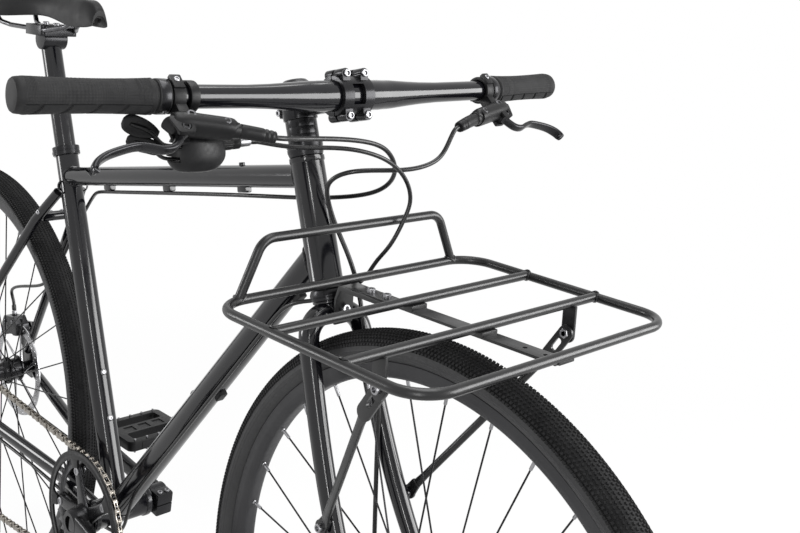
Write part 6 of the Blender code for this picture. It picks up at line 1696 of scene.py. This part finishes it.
def crank_right():
    """Spindle, right arm, five-armed spider and the guard ring round the chain."""
    profile = [(0.0104, 0.0680), (0.0120, 0.0680), (0.0120, -0.0450), (0.0190, -0.0452), (0.0213, -0.0500),
               (0.0215, -0.0520), (0.0208, -0.0560), (0.0190, -0.0630), (0.0172, -0.0688), (0.0155, -0.0705),
               (0.0108, -0.0705), (0.0104, -0.0700)]
    shapes = [lathe(profile, BB, Y, "anodised", 72)]
    ring = [(0.0935, -0.0509), (0.0931, -0.0505), (0.0829, -0.0505), (0.0825, -0.0509), (0.0825, -0.0531),
            (0.0829, -0.0535), (0.0860, -0.0535), (0.0866, -0.0531), (0.0894, -0.0531), (0.0900, -0.0535),
            (0.0931, -0.0535), (0.0935, -0.0531)]
    shapes.append(lathe(ring, BB, Y, "plastic", 200))
    for turn in arm_turns():
        way = Vector((cos(turn), 0, sin(turn)))
        wide = way.cross(Y)
        path = [BB + Y * -0.0480 + way * r for r in (0.012, 0.024, 0.045, 0.062, 0.0738)]
        sizes = [(0.0125, 0.0032), (0.0108, 0.0032), (0.0082, 0.0032), (0.0082, 0.0031), (0.0076, 0.0026)]
        shapes.append(tube(path, sizes, "anodised", 36, Y, fine=4, dome=(0, 1.0), square=0.6))
        edge = [(0.0700, -0.0070), (0.0800, -0.0095), (0.0850, -0.0165), (0.0850, 0.0165), (0.0800, 0.0095),
                (0.0700, 0.0070)]
        shapes.append(plate(edge, BB + Y * -0.0518, way, wide, 0.0032, "plastic", 0.0006))
        spot = BB + way * BOLT_R
        shapes.append(rod(spot - Y * 0.0460, spot - Y * 0.0400, 0.0039, "steel", 32))
        shapes.append(bolt(spot - Y * 0.0511, -Y, 0.0056, 0.0014))
    piece("crank_right_finish", shapes + crank_arm(-1), "crank_right")


def crank_left():
    """The left arm, clamped on the spindle by its slit boss."""
    ahead = -crank_way(1)
    rim_edge = [(0, 0.0455), (0.0171, 0.0455), (0.0175, 0.0460), (0.0175, BOSS_Y - 0.0012),
                (0.0163, BOSS_Y), (0, BOSS_Y)]
    made = lathe(rim_edge, BB, Y, "anodised", 72)
    at = BB + ahead * 0.0165 + Y * 0.0577
    cut(made, [block(at, (0.0190, 0.0240, 0.0330), "anodised", ahead, Y, 0.0030)], "UNION")
    cut(made, [rod(BB, BB + Y * 0.2, 0.0124, "anodised", 64, 0),
               block(BB + ahead * 0.0200 + Y * 0.0577, (0.0260, 0.0300, 0.0016), "anodised", ahead, Y, 0)])
    shapes = [made]
    high = ahead.cross(Y)
    if high.z < 0:
        high = -high
    for y in (-0.0056, 0.0056):
        spot = BB + ahead * 0.0195 + Y * (0.0577 + y)
        shapes.append(bolt(spot + high * 0.0163, high, 0.0038, 0.0028))
    profile = [(0, BOSS_Y - 0.0060), (0.0122, BOSS_Y - 0.0060), (0.0122, BOSS_Y - 0.0022),
               (0.0112, BOSS_Y - 0.0014), (0.0060, BOSS_Y - 0.0014), (0.0056, BOSS_Y - 0.0050),
               (0, BOSS_Y - 0.0050)]
    shapes.append(lathe(profile, BB, Y, "plastic", 64))
    piece("crank_left_finish", shapes + crank_arm(1), "crank_left")


def pedal(word, side):
    """A wide platform with two windows, grip pins and a bore for its axle."""
    end = BB + crank_way(side) * CRANK
    mid = end + Y * (side * (PEDAL_FROM + PEDAL_TO) / 2)
    corner = [Vector((x, y, 0)) for x, y in ((-0.0480, -0.0500), (0.0480, -0.0500), (0.0480, 0.0500),
                                             (-0.0480, 0.0500))]
    edge = [(p.x, p.y) for p in corners(corner, 0.010, 6, True)]
    made = plate(edge, mid, X, Y, 0.0160, "plastic", 0.0018)
    holes = [rod(end + Y * (side * 0.05), end + Y * (side * 0.25), 0.0063, "plastic", 32, 0)]
    for x in (-0.0255, 0.0255):
        window = [Vector((u, v, 0)) for u, v in ((-0.0115, -0.0380), (0.0115, -0.0380), (0.0115, 0.0380),
                                                 (-0.0115, 0.0380))]
        outline = [(p.x, p.y) for p in corners(window, 0.004, 5, True)]
        holes.append(plate(outline, mid + X * x, X, Y, 0.05, "plastic", 0))
    for y in (-0.024, 0.0, 0.024):
        for up in (-1, 1):
            holes.append(block(mid + Vector((0, y, up * 0.0086)), (0.0180, 0.0150, 0.0040), "plastic",
                               edge=0))
    cut(made, holes)
    shapes = [made]
    for x in (-0.0435, 0.0435):
        for y in (-0.0400, -0.0200, 0.0, 0.0200, 0.0400):
            for up in (-1, 1):
                spot = mid + Vector((x, y, up * 0.0075))
                shapes.append(rod(spot, spot + Z * (up * 0.0033), 0.0017, "steel", 12, 0.0003))
        for up in (-1, 1):
            spot = mid + Vector((x, 0, 0))
            shapes.append(block(spot + X * (0.0046 if x > 0 else -0.0046), (0.0012, 0.0600, 0.0090),
                                "plastic",
                                edge=0.0003) if up > 0 else
                          block(spot, (0.0040, 0.0900, 0.0040), "plastic", edge=0.0004))
    piece("pedal_%s_finish" % word, shapes, "pedal_" + word)


HOUSING_END = HANGER + Vector((-0.024 - GAP, -0.0080, -0.0050))


# Hoses and housing, along the routes of the CAD

HOSE, HOUSING = 0.0050, 0.0046
DOWN_CLIP, CLIP_TURN = DOWN_R + HOUSING / 2 + 0.0011, radians(40)


def brake_boot(side):
    return lever_point(side, 0.1206, 0.0498, 0.0020)


def cord(name, route, thick, ends, blend=None):
    """A cord on a smooth curve through its route, with a crimped ferrule at each end it is given."""
    path = [Vector(row) for row in finer([list(p) for p in route], 10)]
    for _ in range(60):
        path[2:-2] = [(a + 2 * b + c) / 4 for a, b, c in zip(path[1:], path[2:-2], path[3:])]
    shapes = [hose(path, thick, "sheath", 20)]
    for at, way, r, long in ends:
        way = way.normalized()
        shapes.append(rod(at, at + way * long, r, "sheath", 28, 0.0005))
    piece(name + "_finish", shapes, name, blend=blend)


def rear_hose():
    """From the right lever round the head tube, under the top tube and down the left stay."""
    route = [brake_boot(-1), lever_point(-1, 0.1120, 0.0508, 0.0020), (0.3893, -0.085, 0.8790),
             (0.3920, -0.045, 0.8781), (0.3939, 0.005, 0.8723), (0.3901, 0.030, 0.8600),
             (0.3811, 0.050, 0.8381), (0.3609, 0.060, 0.8187), (0.3387, 0.055, 0.8029),
             (0.2920, 0.0355, 0.7928), (0.2447, 0.018, 0.7860), (0.1782, 0.0, 0.7786),
             (0.0180, 0.0, 0.7515), (-0.1300, 0.0, 0.7262), (-0.1750, 0.008, 0.7180),
             (-0.2150, 0.0230, 0.7035), (-0.2450, 0.0290, 0.6820)]
    way = (STAY_END - STAY_MID).normalized()
    ahead = Vector((-way.z, 0, way.x)).normalized()
    route += [STAY_MID + way * s + ahead * n + Y * t for s, n, t in
              ((0.030, 0.0128, 0.0), (0.110, 0.0120, -0.0040), (0.155, 0.0050, -0.0125),
               (0.185, -0.0050, -0.0130))]
    route += [REAR_ENTRY + REAR_RADIAL * 0.045 - Y * 0.006, REAR_ENTRY + REAR_RADIAL * 0.022,
              REAR_ENTRY + REAR_RADIAL * 0.010, REAR_ENTRY]
    ends = [(REAR_ENTRY + REAR_RADIAL * 0.0002, REAR_RADIAL, 0.0034, 0.009)]
    cord("rear_brake_hose", route, HOSE, ends, ((0.39, 0, 0.865), (0.30, 0, 0.79)))


def front_hose():
    """From the left lever past the head tube and down behind the left fork leg."""
    route = [brake_boot(1), lever_point(1, 0.1120, 0.0508, 0.0020), (0.3968, 0.1050, 0.8560),
             (0.3971, 0.090, 0.8467), (0.3952, 0.070, 0.8412), (0.3900, 0.045, 0.8391),
             (0.3777, 0.015, 0.8400), (0.3618, -0.005, 0.8367), (0.3446, -0.010, 0.8257),
             (0.3365, -0.008, 0.8135), (0.3334, 0.0, 0.7957), (0.3375, 0.006, 0.7745),
             (0.3489, 0.014, 0.7489), (0.3556, 0.0210, 0.7248), (0.3612, 0.0255, 0.7000),
             (0.3670, 0.0270, 0.6750), (0.3790, 0.0270, 0.6400), (0.3950, 0.0270, 0.6100),
             (0.4010, 0.0270, 0.5800), (0.4005, 0.0280, 0.5455), (0.3998, 0.0300, 0.5090),
             (0.3990, 0.0340, 0.4394), (0.3970, 0.0370, 0.4080)]
    route += [FRONT_ENTRY + FRONT_RADIAL * 0.020, FRONT_ENTRY + FRONT_RADIAL * 0.010, FRONT_ENTRY]
    cord("front_brake_hose", route, HOSE, [(FRONT_ENTRY + FRONT_RADIAL * 0.0002, FRONT_RADIAL, 0.0034,
                                            0.009)])


def shift_housing():
    """From the shifter's barrel round the head tube and along the down tube to the rear."""
    route = [POD + Vector((0, 0.0569, 0.0035)), POD + Vector((0.0005, 0.066, 0.0033)),
             (0.3752, -0.085, 0.8677), (0.3840, -0.045, 0.8684), (0.3945, -0.015, 0.8653),
             (0.3994, 0.015, 0.8561), (0.3962, 0.040, 0.8414), (0.3956, 0.055, 0.8241),
             (0.3950, 0.060, 0.8074), (0.3936, 0.058, 0.7953), (0.3914, 0.050, 0.7773),
             (0.3862, 0.042, 0.7562), (0.3700, 0.040, 0.7400), (0.3640, 0.037, 0.7270),
             (0.3560, 0.0340, 0.7140), (0.3420, 0.0290, 0.7010), (0.3280, 0.0180, 0.6910),
             (0.3160, 0.0040, 0.6860), (0.3070, -0.0080, 0.6850)]
    way = (DOWN_HEAD - BB).normalized()
    under = Vector((way.z, 0, -way.x)) * cos(CLIP_TURN) - Y * sin(CLIP_TURN)
    route += [BB + way * s + under * DOWN_CLIP for s in (0.535, 0.500, 0.380, 0.300, 0.120, 0.070)]
    route += [(-0.0480, -0.010, 0.2740), (-0.0700, -0.009, 0.2590), (-0.0950, -0.010, 0.2540),
              (-0.1250, -0.016, 0.2610), (-0.1600, -0.0260, 0.2730), (-0.2500, -0.0385, 0.2960),
              (-0.4000, -0.0590, 0.3190), (-0.4600, -0.0720, 0.3260), (-0.4950, -0.0776, 0.3350),
              (-0.5180, -0.0780, 0.3357), (-0.5500, -0.0785, 0.3410), (-0.5850, -0.0775, 0.3400),
              (-0.6050, -0.0770, 0.3270), (-0.6000, -0.0775, 0.3110), (-0.5800, -0.0790, 0.3060)]
    route += [HOUSING_END + Vector((-0.0240, 0.0008, -0.0036)),
              HOUSING_END + Vector((-0.012, 0.0004, -0.0018)),
              HOUSING_END]
    ends = [(route[0] + (route[1] - route[0]).normalized() * 0.0002, route[1] - route[0], 0.0030, 0.008),
            (HOUSING_END, HOUSING_END - route[-2], 0.0030, -0.008)]
    cord("shift_housing", route, HOUSING, ends[:1], ((0.395, 0, 0.84), (0.32, 0, 0.70)))


def main():
    camera()
    studio()
    floor()
    head_tube()
    headset("headset_lower_finish", "headset_lower", 0.3830, HEAD_LOW - GAP, False)
    headset("headset_upper_finish", "headset_upper", HEAD_TOP + GAP, STEM_LOW - 0.0255, True)
    top_tube()
    down_tube()
    seat_tube()
    bottom_bracket()
    for word, side in (("right", -1), ("left", 1)):
        chainstay(word, side)
        seatstay(word, side)
    stay_bridge()
    seat_collar()
    seatpost()
    seat_clamp()
    saddle()
    fork()
    steerer_spacers()
    top_cap()
    stem()
    faceplate()
    handlebar()
    rack()
    rack_spine()
    for word, side in (("right", -1), ("left", 1)):
        grip(word, side)
        brake_body(word, side)
        brake_lever(word, side)
        strut(word, side)
        pedal(word, side)
    shifter()
    shift_lever("upper", SHIFT_SLOTS[0], (0.3450, -0.2450, 0.8965), 0.0090)
    shift_lever("lower", SHIFT_SLOTS[1], (0.3440, -0.2400, 0.8800), 0.0075)
    caliper("front", FRONT_CALIPER, FRONT_RADIAL, FRONT_DISC, FRONT_DISC + CALIPER_HALF + GAP)
    caliper("rear", REAR_CALIPER, REAR_RADIAL, REAR_DISC, DROP_Y - 0.0025)
    tyre("front", FRONT)
    tyre("rear", REAR)
    rim("front", FRONT, FRONT_FLANGES)
    rim("rear", REAR, REAR_FLANGES)
    hub("front", FRONT, FRONT_FLANGES, 0.0497, FRONT_DISC)
    hub("rear", REAR, REAR_FLANGES, 0.0672, REAR_DISC, -0.0640)
    axle_rod("front", FRONT, 0.0640)
    axle_rod("rear", REAR, 0.0800)
    chainring()
    cassette()
    jockey("upper", GUIDE)
    jockey("lower", TENSION)
    derailleur_cage()
    derailleur_body()
    crank_right()
    crank_left()
    chain()
    rear_hose()
    front_hose()
    shift_housing()


main()
